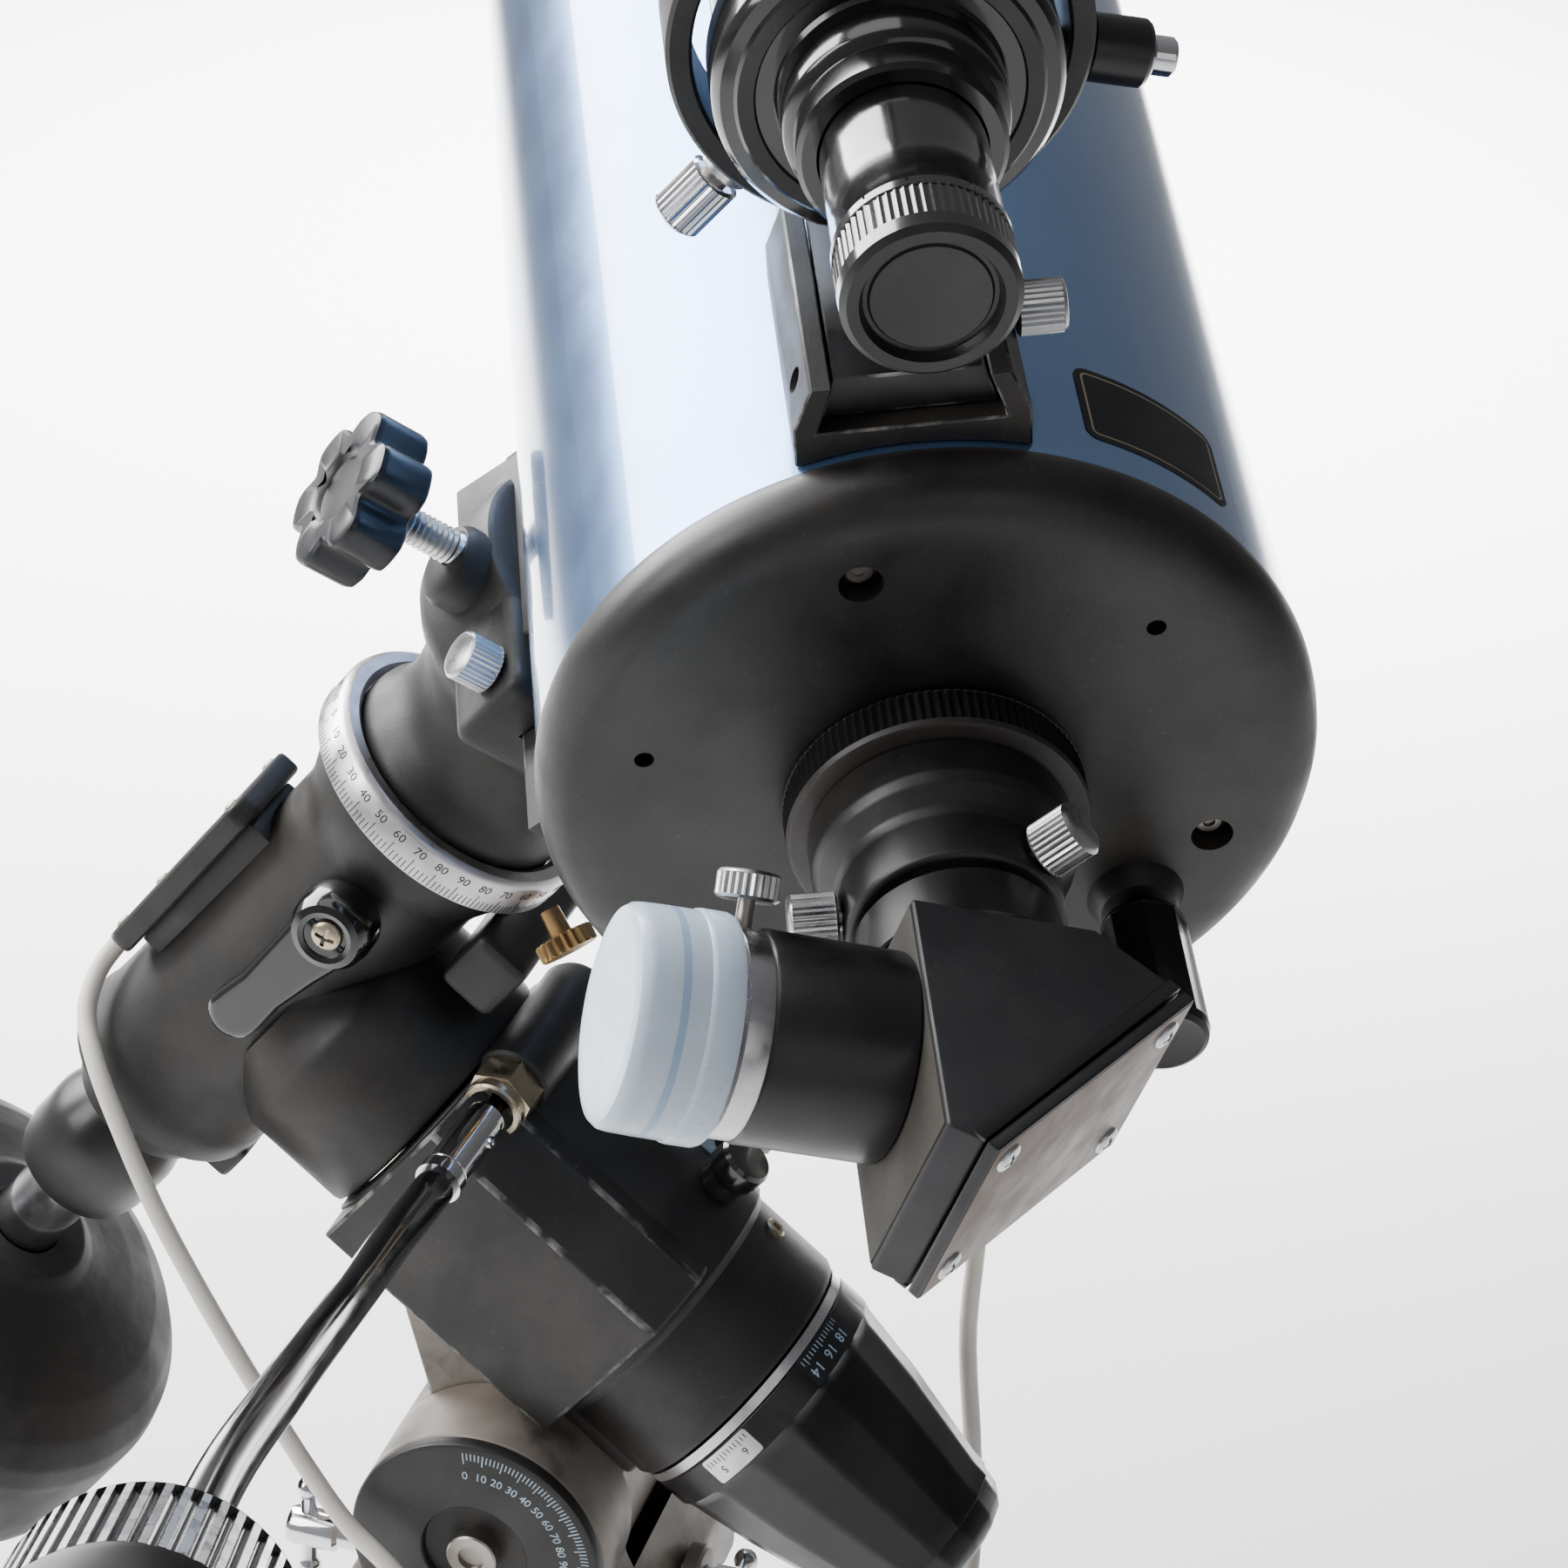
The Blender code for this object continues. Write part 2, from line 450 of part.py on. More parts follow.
# ---- visual back and diagonal ----
lathe("lock_ring", "Y", [(16.4, -22.0), (26.8, -22.0), (28.0, -21.0), (28.0, -13.2), (26.8, -12.3),
    (16.4, -12.3)], OTA, BLACK, 48, closed=True)
back = lathe("visual_back", "Y", [(16.2, -47.0), (19.0, -47.0), (20.0, -46.2), (20.0, -36.5), (24.0, -32.0),
                                  (24.3, -22.3), (16.2, -22.3)], OTA, BLACK, 48, closed=True)
for k, clock in enumerate((80.0, -140.0)):
    turn = 90.0 - clock
    cut(back, rod("cut_back_screw" + str(k), "Z", 2.2, 12.0, 40.0, OTA, None, 16, (0, -41.5, 0),
        (0, turn, 0)))
    screw("visual_back_screw_" + str(k + 1), "Z", OTA, SILVER, 4.6, 21.0, 29.5, 1.9, 16.4, (0, -41.5, 0),
        (0, turn, 0))
pipe("diagonal_nose", "Y", 15.85, 14.2, 20.3, 56.0, DIA, CHROME, 40)
BODY = [(17.0, 20.0), (-17.0, 20.0), (-31.0, 8.4), (11.0, -33.6), (17.0, -31.0)]
body = prism("diagonal_housing", "Z", BODY, -19.0, 19.0, DIA, BLACK)
cut(body, prism("cut_prism_space", "Z", [(15.5, 18.5), (-16.4, 18.5), (-27.2, 9.4), (-31.0, 3.0),
    (5.0, -33.0), (11.0, -30.8), (15.5, -28.8)], -17.0, 17.0, DIA, None))
cut(body, rod("cut_nose", "Y", 14.2, 5.0, 40.0, DIA, None, 32))
cut(body, rod("cut_eye", "X", 15.2, 5.0, 40.0, DIA, None, 32))
prism("diagonal_back_plate", "Z", [(-31.4, 8.0), (-33.1, 6.3), (8.9, -35.7), (10.6, -34.0)], -19.3, 19.3,
    DIA, PLATE)
prism("diagonal_mirror", "Z", [(-22.0, 4.5), (-24.0, 2.5), (2.5, -24.0), (4.5, -22.0)], -15.5, 15.5, DIA,
    MIRROR)
holder = lathe("eyepiece_holder", "X", [(16.1, 17.3), (18.3, 17.3), (18.3, 43.0), (17.9, 43.6),
    (17.9, 47.6), (17.2, 48.4), (17.2, 60.0), (16.1, 60.0)], DIA, BLACK, 48, closed=True)
cut(holder, rod("cut_holder_screw", "Z", 1.85, 9.0, 31.0, DIA, None, 24, (45.6, 0, 0), (-132.0, 0, 0)))
screw("holder_screw", "Z", DIA, SILVER, 5.6, 22.4, 27.4, 1.5, 14.5, (45.6, 0, 0), (-132.0, 0, 0), 32)
lathe("dust_cap", "X", [(0.0, 66.6), (17.5, 66.6), (19.2, 65.2), (19.8, 48.6), (18.4, 48.6), (18.0, 64.2),
    (0.0, 65.0)], DIA, MILK, 48)

# ---- finder ----
FZ = FINDER_OFFSET
shoe = prism("finder_shoe", "Y", [(-20.8, 66.0), (20.8, 66.0), (20.8, 77.0), (17.5, 85.5), (13.5, 85.5),
    (16.6, 76.0), (-16.6, 76.0), (-13.5, 85.5), (-17.5, 85.5), (-20.8, 77.0)], 2.0, 57.0, FND, BLACK)
cut(shoe, rod("cut_shoe_bed", "Y", TUBE_R + GAP, -200.0, 300.0, OTA, None, 96))
cut(shoe, rod("cut_shoe_hole", "X", 2.2, 10.0, 30.0, FND, None, 16, (0, 26.0, 80.5)))
screw("shoe_screw", "X", FND, SILVER, 5.0, 21.0, 30.0, 1.9, 15.9, (0, 26.0, 80.5))
bracket = prism("finder_bracket", "Y", [(-15.6, 76.4), (15.6, 76.4), (13.2, 84.5), (-13.2, 84.5)], 6.0,
    54.0, FND, BLACK)
join(bracket, prism("add_stem", "X", [(12.0, 82.0), (52.0, 82.0), (50.0, 98.3), (36.0, 98.3)], -9.0, 9.0,
    FND, None))
join(bracket, pipe("add_ring", "Y", 36.5, 32.0, 34.0, 52.0, FND, None, 56, (0, 0, FZ)))
for k, clock in enumerate((105.0, 225.0, -15.0)):
    turn = 90.0 - clock
    cut(bracket, rod("cut_ring_hole" + str(k), "Z", 2.9, 25.0, 45.0, FND, None, 16, (0, 43.0, FZ),
        (0, turn, 0)))
lathe("finder_tube", "Y", [(26.4, 24.0), (28.0, 24.0), (28.0, 150.0), (26.4, 150.0)], FND, PAINT_BLUE, 56,
    (0, 0, FZ), closed=True)
lathe("finder_rear_cell", "Y", [(14.2, 2.0), (17.5, 2.0), (17.5, 9.0), (19.0, 10.0), (19.0, 20.0),
    (27.5, 20.5), (29.8, 22.5), (29.8, 34.0), (28.3, 34.0), (28.3, 23.7), (14.2, 23.7)], FND, BLACK, 56,
    (0, 0, FZ), closed=True)
lathe("finder_eyepiece", "Y", [(0.0, -36.2), (11.0, -36.2), (11.6, -37.8), (13.4, -37.8), (14.6, -36.4),
    (14.6, -12.0), (13.9, -11.0), (13.9, 18.0), (0.0, 18.0)], FND, BLACK, 40, (0, 0, FZ))
lathe("finder_objective_cell", "Y", [(26.0, 150.3), (29.5, 150.3), (31.5, 156.0), (31.5, 184.0),
    (30.3, 184.0), (30.0, 160.0), (26.0, 154.0)], FND, BLACK, 56, (0, 0, FZ), closed=True)
lathe("finder_lens", "Y", [(0.0, 160.3), (29.0, 161.5), (29.7, 162.0), (29.7, 166.0), (20.0, 168.2),
    (0.0, 169.4)], FND, GLASS, 48, (0, 0, FZ))
for k, clock in enumerate((105.0, 225.0)):
    turn = 90.0 - clock
    screw("finder_screw_" + str(k + 1), "Z", FND, SILVER, 5.0, 39.0, 54.0, 2.6, 28.4, (0, 43.0, FZ),
        (0, turn, 0))
lathe("finder_plunger", "Z", [(0.0, 28.4), (2.6, 28.4), (2.6, 36.8), (6.0, 36.8), (6.0, 48.0),
    (3.5, 49.0), (3.5, 53.0), (0.0, 53.0)], FND, BLACK, 24, (0, 43.0, FZ), (0, 105.0, 0))

# ---- lead of the declination motor ----
LEAD = [(-4.0, 101.6, 189.1), (-6.0, 105.4, 184.6), (-11.0, 108.2, 179.2), (-19.0, 107.6, 172.6),
    (-28.0, 101.4, 165.4), (-35.0, 92.6, 154.0), (-40.0, 81.5, 136.0), (-44.0, 67.0, 114.6),
    (-47.5, 53.0, 96.0), (-50.5, 41.0, 81.0), (-53.5, 29.0, 68.4), (-57.0, 15.5, 60.0),
    (-59.5, -2.0, 42.0), (-58.0, -28.0, 24.0), (-50.0, -56.0, 13.0), (-32.0, -83.0, 9.5),
    (-6.0, -101.0, 13.0), (20.0, -106.0, 29.0), (36.0, -102.0, 55.0), (42.0, -97.0, 88.0),
    (42.0, -97.0, 122.0), (38.0, -92.0, 146.0), (30.0, -80.0, 162.0), (22.0, -66.0, 164.5),
    (17.0, -55.0, 157.0), (14.5, -49.0, 149.5)]
tube_along("motor_lead", spline(LEAD, 48), 2.3, BASE, CORD, 2)
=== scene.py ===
"""Looks of the catadioptric telescope on its equatorial mount: materials, fine detail, light, camera."""

import math

import bmesh
import bpy
from mathutils import Euler, Matrix, Vector


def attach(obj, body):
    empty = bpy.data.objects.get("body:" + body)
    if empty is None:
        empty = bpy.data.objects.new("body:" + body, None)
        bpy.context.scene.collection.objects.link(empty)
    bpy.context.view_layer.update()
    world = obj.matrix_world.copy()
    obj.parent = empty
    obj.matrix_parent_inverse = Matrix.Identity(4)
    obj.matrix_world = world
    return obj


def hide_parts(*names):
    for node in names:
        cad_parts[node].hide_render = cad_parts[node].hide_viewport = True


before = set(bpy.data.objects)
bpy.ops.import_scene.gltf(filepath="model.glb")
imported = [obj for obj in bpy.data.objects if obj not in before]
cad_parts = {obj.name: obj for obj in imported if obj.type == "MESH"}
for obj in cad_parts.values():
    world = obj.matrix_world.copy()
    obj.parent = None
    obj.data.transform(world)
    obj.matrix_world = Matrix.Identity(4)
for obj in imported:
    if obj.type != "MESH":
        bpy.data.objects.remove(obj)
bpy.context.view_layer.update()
MM = 0.001
TUBE_R = 72.0
FINDER_OUT = 132.0
HUB_HEIGHT = 62.0
SHARP_ANGLE = 32.0
FLOOR_Z = -0.36
FOCAL_MM = 87.989
CAMERA_PLACE = (-0.72732, -0.24278, 0.63918)
CAMERA_RIGHT = Vector((0.27374, -0.96072, 0.04566))
CAMERA_UP = Vector((0.42810, 0.16422, 0.88869))


def at(parent, loc, rot=(0, 0, 0)):
    """Frame in millimetres, placed and turned (degrees) in its parent frame."""
    turn = Euler([math.radians(a) for a in rot]).to_matrix().to_4x4()
    return parent @ Matrix.Translation(loc) @ turn


WORLD = Matrix.Identity(4)
HUB = at(WORLD, (0, 0, HUB_HEIGHT))
LAT = at(HUB, (0, 0, 0), (38, 0, 0))
POL = at(LAT, (0, 128.3, 57.4))
DEC = at(POL, (0, 0, 0), (0, 0, -62.73))
OTA = at(DEC, (0, -117.6, 213))
FND = at(OTA, (0, 0, 0), (0, -42, 0))
FAX = at(FND, (0, 0, FINDER_OUT))
DIA = at(OTA, (0, -80, 0), (0, 159.4, 0))
WRM = at(POL, (0, -57, 33), (0, -10, 0))


def add(name, data):
    made = bpy.data.objects.new(name, data)
    bpy.context.scene.collection.objects.link(made)
    return made


# ---- camera ----
lens = bpy.data.cameras.new("camera")
lens.lens = FOCAL_MM
lens.clip_start = 0.02
camera = add("camera", lens)
axes = Matrix((CAMERA_RIGHT, CAMERA_UP, CAMERA_RIGHT.cross(CAMERA_UP))).transposed().to_4x4()
camera.matrix_world = Matrix.Translation(CAMERA_PLACE) @ axes
bpy.context.scene.camera = camera


# ---- materials ----
def srgb(red, green, blue):
    out = []
    for value in (red, green, blue):
        share = value / 255.0
        out.append(share / 12.92 if share < 0.04045 else ((share + 0.055) / 1.055) ** 2.4)
    return out


class Paint:
    """Principled material with cloudy colour, uneven gloss and a fine bump, all in object coordinates."""

    def __init__(self, name, colour, rough, metallic=0.0):
        self.mat = bpy.data.materials.new(name)
        self.mat.use_nodes = True
        self.nodes = self.mat.node_tree.nodes
        self.links = self.mat.node_tree.links
        self.shader = self.nodes["Principled BSDF"]
        self.coords = self.nodes.new("ShaderNodeTexCoord").outputs["Object"]
        self.colour = colour
        self.rough = rough
        self.shader.inputs["Metallic"].default_value = metallic
        self.shader.inputs["Base Color"].default_value = (*colour, 1.0)
        self.shader.inputs["Roughness"].default_value = rough

    def noise(self, scale, detail=4.0, rough=0.55):
        node = self.nodes.new("ShaderNodeTexNoise")
        node.inputs["Scale"].default_value = scale
        node.inputs["Detail"].default_value = detail
        node.inputs["Roughness"].default_value = rough
        self.links.new(self.coords, node.inputs["Vector"])
        return node.outputs["Fac"]

    def span(self, source, low, high, out_low=0.0, out_high=1.0):
        node = self.nodes.new("ShaderNodeMapRange")
        node.inputs["From Min"].default_value = low
        node.inputs["From Max"].default_value = high
        node.inputs["To Min"].default_value = out_low
        node.inputs["To Max"].default_value = out_high
        self.links.new(source, node.inputs["Value"])
        return node.outputs["Result"]

    def blend(self, share, other):
        """Colour so far, mixed with another colour by a 0..1 output."""
        node = self.nodes.new("ShaderNodeMix")
        node.data_type = "RGBA"
        self.links.new(share, node.inputs[0])
        link = self.shader.inputs["Base Color"].links
        if link:
            self.links.new(link[0].from_socket, node.inputs[6])
        else:
            node.inputs[6].default_value = (*self.colour, 1.0)
        node.inputs[7].default_value = (*other, 1.0)
        self.links.new(node.outputs[2], self.shader.inputs["Base Color"])
        return self

    def clouds(self, scale, other, amount=1.0, low=0.35, high=0.7):
        return self.blend(self.span(self.noise(scale), low, high, 0.0, amount), other)

    def gloss(self, scale, spread):
        fac = self.span(self.noise(scale, 3.0), 0.3, 0.7, self.rough - spread, self.rough + spread)
        self.links.new(fac, self.shader.inputs["Roughness"])
        return self

    def bump(self, scale, depth):
        node = self.nodes.new("ShaderNodeBump")
        node.inputs["Distance"].default_value = depth * MM
        self.links.new(self.noise(scale, 3.0, 0.6), node.inputs["Height"])
        before = self.shader.inputs["Normal"].links
        if before:
            self.links.new(before[0].from_socket, node.inputs["Normal"])
        self.links.new(node.outputs["Normal"], self.shader.inputs["Normal"])
        return self

    def set(self, **values):
        for key, value in values.items():
            self.shader.inputs[key.replace("_", " ")].default_value = value
        return self


def black(name, tone, rough, dust=0.5, grain=0.03):
    """Black coating: fine grain, darker clouds and a thin brownish dust."""
    paint = Paint(name, srgb(*tone), rough)
    paint.clouds(38.0, [c * 0.55 for c in srgb(*tone)], 0.8)
    paint.clouds(24.0, srgb(92, 84, 76), 0.55 * dust, 0.48, 0.85)
    paint.clouds(900.0, srgb(120, 112, 102), 0.30 * dust, 0.62, 0.8)
    return paint.gloss(70.0, 0.09).bump(1400.0, grain).bump(120.0, grain * 0.6).mat


def metal(name, tone, rough, dirt=(90, 84, 76), amount=0.35, grain=0.01):
    paint = Paint(name, srgb(*tone), rough, 1.0)
    paint.clouds(60.0, srgb(*dirt), amount, 0.5, 0.85)
    return paint.gloss(220.0, min(0.1, rough * 0.5)).bump(1100.0, grain).mat


def gloss_paint(name, tone, deep):
    paint = Paint(name, srgb(*tone), 0.24, 0.85)
    paint.clouds(14.0, srgb(*deep), 0.55, 0.3, 0.75)
    paint.clouds(2600.0, srgb(205, 222, 240), 0.22, 0.55, 0.75)
    paint.gloss(60.0, 0.04).bump(1900.0, 0.004)
    return paint.set(Coat_Weight=1.0, Coat_Roughness=0.045, Coat_IOR=1.5).mat


BLUE = gloss_paint("tube_blue_paint", (112, 149, 197), (92, 128, 182))
SKY = gloss_paint("finder_blue_paint", (120, 160, 200), (92, 135, 186))
CELL = black("cell_black", (19, 18, 18), 0.42, 0.45, 0.02)
RIM = black("cell_rim_worn", (38, 34, 31), 0.45, 0.6, 0.03)
CAST = black("cast_black", (26, 24, 22), 0.5, 0.5, 0.05)
DARK = black("satin_black", (19, 19, 21), 0.34, 0.25, 0.015)
DEEP = black("recess_black", (12, 12, 12), 0.7, 0.2, 0.02)
SHINY = Paint("glossy_black", srgb(10, 10, 12), 0.16).clouds(30, srgb(24, 23, 23), 0.5)
SHINY = SHINY.gloss(90, 0.05).bump(500, 0.006).set(Coat_Weight=0.6, Coat_Roughness=0.08).mat
NAVY = black("knob_navy_black", (20, 21, 26), 0.34, 0.2, 0.02)
MATT = black("diagonal_matt", (28, 28, 32), 0.55, 0.35, 0.03)
DUSTY = black("diagonal_dusty", (56, 52, 47), 0.7, 0.8, 0.04)
BRONZE = Paint("bronze_plate", srgb(84, 66, 56), 0.42, 0.6).clouds(14, srgb(62, 50, 44), 0.5)
BRONZE = BRONZE.gloss(120, 0.08).bump(900, 0.01).mat
IRON = Paint("weight_black", srgb(34, 32, 31), 0.6).clouds(26, srgb(16, 15, 15), 0.9, 0.35, 0.6)
IRON = IRON.clouds(85, srgb(62, 59, 56), 0.4, 0.55, 0.8).gloss(60, 0.1).bump(300, 0.08)
IRON = IRON.bump(1500, 0.03).mat
GREY = Paint("grey_beige_paint", srgb(150, 141, 132), 0.5, 0.15).clouds(32, srgb(98, 90, 83), 0.9)
GREY = GREY.clouds(60, srgb(40, 37, 35), 0.7, 0.52, 0.72).gloss(80, 0.08).bump(700, 0.03).mat
SILVER = metal("satin_silver", (206, 206, 208), 0.3)
CIRCLE = metal("circle_aluminium", (214, 210, 212), 0.34, (150, 138, 132), 0.5, 0.008)
CHROME = metal("chrome", (226, 226, 230), 0.1, (150, 140, 130), 0.2, 0.004)
STEEL = metal("dull_steel", (160, 154, 148), 0.36, (98, 86, 74), 0.5)
NICKEL = metal("brass_nickel", (184, 172, 150), 0.3, (120, 100, 74), 0.5)
BRASS = metal("gear_brass", (172, 140, 96), 0.42, (104, 76, 46), 0.8, 0.04)
WORN = Paint("worn_edge", srgb(30, 29, 28), 0.42).clouds(110, srgb(150, 147, 142), 0.75, 0.48, 0.66)
WORN = WORN.gloss(90, 0.08).bump(900, 0.03).mat
MIRROR = metal("mirror_coat", (240, 242, 244), 0.04, (225, 230, 235), 0.2, 0.0005)
INK = black("mark_ink", (26, 27, 32), 0.6, 0.1, 0.005)
WHITE = Paint("pale_marks", srgb(176, 196, 214), 0.5).clouds(300, srgb(120, 136, 152), 0.7)
WHITE = WHITE.bump(900, 0.004).mat
PAPER = Paint("scale_label", srgb(26, 27, 30), 0.4).clouds(200, srgb(14, 14, 16), 0.7).bump(700, 0.004).mat
MILK = Paint("milky_plastic", srgb(222, 232, 245), 0.26).clouds(30, srgb(198, 214, 236), 0.5).gloss(90, 0.05)
MILK = MILK.bump(500, 0.006).set(Transmission_Weight=0.28, IOR=1.45, Subsurface_Weight=0.15).mat
# Darker bluish copy of the milky plastic: painted shade for a narrow band of the translucent dust cap over
# the end of the holder.
CAP_PAINTED_SHADE = Paint("milky_painted_shade_band", srgb(150, 172, 202), 0.3).clouds(60, srgb(128, 152, 186), 0.5)
CAP_PAINTED_SHADE = CAP_PAINTED_SHADE.bump(500, 0.004).mat
CORD = Paint("cable_jacket", srgb(226, 220, 210), 0.45).clouds(50, srgb(204, 196, 184), 0.7).gloss(90, 0.06)
CORD = CORD.bump(700, 0.01).mat
GLASS = Paint("coated_glass", srgb(214, 232, 226), 0.02).clouds(20, srgb(206, 228, 220), 0.3)
GLASS = GLASS.bump(200, 0.0002).set(Transmission_Weight=1, IOR=1.5).mat


# ---- mesh builders, local millimetres ----
def shade(data, degrees=SHARP_ANGLE):
    data.shade_smooth()
    data.set_sharp_from_angle(angle=math.radians(degrees))


def link(name, data, body, stuff, smooth=SHARP_ANGLE):
    piece = add(name, data)
    if stuff is not None:
        for one in stuff if isinstance(stuff, (list, tuple)) else [stuff]:
            data.materials.append(one)
    if smooth:
        shade(data, smooth)
    if body is not None:
        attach(piece, body)
    return piece


def spot(axis, a, b, h):
    return {"X": (h, a, b), "Y": (a, h, b), "Z": (a, b, h)}[axis]


def solid(name, place, points, faces, body, stuff, tones=None, smooth=SHARP_ANGLE):
    data = bpy.data.meshes.new(name)
    data.from_pydata([(place @ Vector(p)) * MM for p in points], [], faces)
    if tones:
        data.polygons.foreach_set("material_index", tones)
    bm = bmesh.new()
    bm.from_mesh(data)
    bmesh.ops.recalc_face_normals(bm, faces=bm.faces)
    bm.to_mesh(data)
    bm.free()
    return link(name, data, body, stuff, smooth)


def lathe(name, place, axis, profile, body, stuff, sides=96, closed=False, shape=None):
    """Turned body. Profile points are (radius, height) or (radius, height, tone of the band after them)."""
    points, faces, tones, rings = [], [], [], []
    for entry in profile:
        radius, height = entry[0], entry[1]
        if radius < 1e-6:
            points.append(spot(axis, 0, 0, height))
            rings.append([len(points) - 1] * sides)
            continue
        start = len(points)
        for i in range(sides):
            angle = 2 * math.pi * i / sides
            r = radius if shape is None else shape(angle, height, radius)
            points.append(spot(axis, r * math.cos(angle), r * math.sin(angle), height))
        rings.append(list(range(start, start + sides)))
    bands = list(zip(rings[:-1], rings[1:], profile[:-1]))
    if closed:
        bands.append((rings[-1], rings[0], profile[-1]))
    for low, high, entry in bands:
        tone = entry[2] if len(entry) > 2 else 0
        for i in range(sides):
            j = (i + 1) % sides
            face = []
            for corner in (low[i], low[j], high[j], high[i]):
                if corner not in face:
                    face.append(corner)
            if len(face) > 2:
                faces.append(face)
                tones.append(tone)
    if not closed:
        for ring in (rings[0], rings[-1]):
            if ring[0] != ring[1]:
                faces.append(ring)
                tones.append(0)
    return solid(name, place, points, faces, body, stuff, tones)


def rounded(profile, size=0.6):
    """Profile with each inner corner replaced by a small chamfer with a round feel."""
    out = [profile[0]]
    for before, here, after in zip(profile[:-2], profile[1:-1], profile[2:]):
        p, q, r = Vector(before[:2]), Vector(here[:2]), Vector(after[:2])
        back, ahead = (p - q), (r - q)
        reach = min(size, back.length * 0.4, ahead.length * 0.4)
        tone = tuple(here[2:])
        if reach < 0.05 or back.length < 1e-6 or ahead.length < 1e-6:
            out.append(here)
            continue
        first, last = q + back.normalized() * reach, q + ahead.normalized() * reach
        middle = (first + last) * 0.25 + q * 0.5
        for point in (first, middle, last):
            out.append((point.x, point.y) + tone)
    return out + [profile[-1]]


def bevel(piece, size, steps, tone, least_angle=0.4, least_length=0):
    """Rounds the edges that are sharper and longer than the limits."""
    bm = bmesh.new()
    bm.from_mesh(piece.data)
    edges = [e for e in bm.edges if len(e.link_faces) == 2 and e.calc_face_angle() > least_angle
             and e.calc_length() > least_length]
    bmesh.ops.bevel(bm, geom=edges, offset=size * MM, segments=steps, affect="EDGES", profile=0.6,
                    material=tone)
    bm.to_mesh(piece.data)
    bm.free()


def prism(name, place, axis, outline, low, high, body, stuff, round_off=0, steps=2, edge_tone=-1):
    points = [spot(axis, a, b, low) for a, b in outline] + [spot(axis, a, b, high) for a, b in outline]
    count = len(outline)
    faces = [[i, (i + 1) % count, count + (i + 1) % count, count + i] for i in range(count)]
    faces += [list(range(count)), list(range(count, 2 * count))]
    piece = solid(name, place, points, faces, body, stuff)
    if round_off > 0:
        bevel(piece, round_off, steps, edge_tone)
        shade(piece.data)
    return piece


def block(name, place, low, high, body, stuff, round_off=0.5, steps=2, edge_tone=-1):
    outline = [(low[0], low[1]), (high[0], low[1]), (high[0], high[1]), (low[0], high[1])]
    return prism(name, place, "Z", outline, low[2], high[2], body, stuff, round_off, steps, edge_tone)


def carve(piece, tools, operation="DIFFERENCE"):
    """Boolean with throw-away tools, applied at once."""
    for tool in tools:
        step = piece.modifiers.new("step", "BOOLEAN")
        step.operation = operation
        step.solver = "EXACT"
        step.object = tool
    bpy.context.view_layer.update()
    seen = piece.evaluated_get(bpy.context.evaluated_depsgraph_get())
    made = bpy.data.meshes.new_from_object(seen)
    piece.modifiers.clear()
    piece.data = made
    shade(made)
    for tool in tools:
        bpy.data.objects.remove(tool, do_unlink=True)
    return piece


def drill(place, axis, radius, low, high, sides=32):
    return lathe("tool", place, axis, [(0, low), (radius, low), (radius, high), (0, high)], None, None, sides)


def arc(cx, cy, radius, start, end, steps):
    out = []
    for i in range(steps + 1):
        a = math.radians(start + (end - start) * i / steps)
        out.append((cx + radius * math.cos(a), cy + radius * math.sin(a)))
    return out


def fit(piece, node):
    """The piece stands for a CAD node, which is hidden."""
    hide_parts(node)


def ribs(count, depth, low, high, sharp=1):
    """Ribs along a turned body, between two heights."""
    def shape(angle, height, radius):
        if height < low or height > high:
            return radius
        wave = 0.5 - 0.5 * math.cos(count * angle)
        return radius - depth * wave ** sharp
    return shape


def thumbscrew(name, place, body, head_r, low, high, shank_r, tip, count=28, stuff=SILVER, cap=SILVER):
    """Knurled round head on a threaded shank, along local Z; it stands for the CAD node of its body."""
    profile = [(0, tip), (shank_r - 0.3, tip), (shank_r, tip + 0.4, 2), (shank_r, low, 0),
               (head_r - 0.7, low, 0), (head_r, low + 0.5, 0), (head_r, low + 0.55, 0),
               (head_r, high - 0.75, 0), (head_r, high - 0.7, 1), (head_r - 0.5, high - 0.15, 1),
               (head_r - 0.9, high, 1), (0, high + 0.12, 1)]
    fit(lathe(name, place, "Z", profile, body, [stuff, cap, STEEL], count * 8, False,
              ribs(count, 0.42, low + 0.52, high - 0.72, 0.6)), body)


def cross_screw(name, place, body, radius, high, stuff=NICKEL):
    """Pan-head screw with a cross recess; local Z points out, zero at the surface."""
    dome = [(0, -0.6), (radius, -0.6), (radius, 0.25 * high)]
    for step in range(1, 6):
        a = step * math.pi / 12
        dome.append((radius * math.cos(a), high * (0.25 + 0.75 * math.sin(a))))
    head = lathe(name, place, "Z", dome + [(0, high)], body, [stuff, DEEP], 32)
    low, top = (-radius * 0.62, -radius * 0.13, high * 0.45), (radius * 0.62, radius * 0.13, high * 2)
    return carve(head, [block("tool", at(place, (0, 0, 0), (0, 0, turn)), low, top, None, None, 0)
                        for turn in (20, 110)])


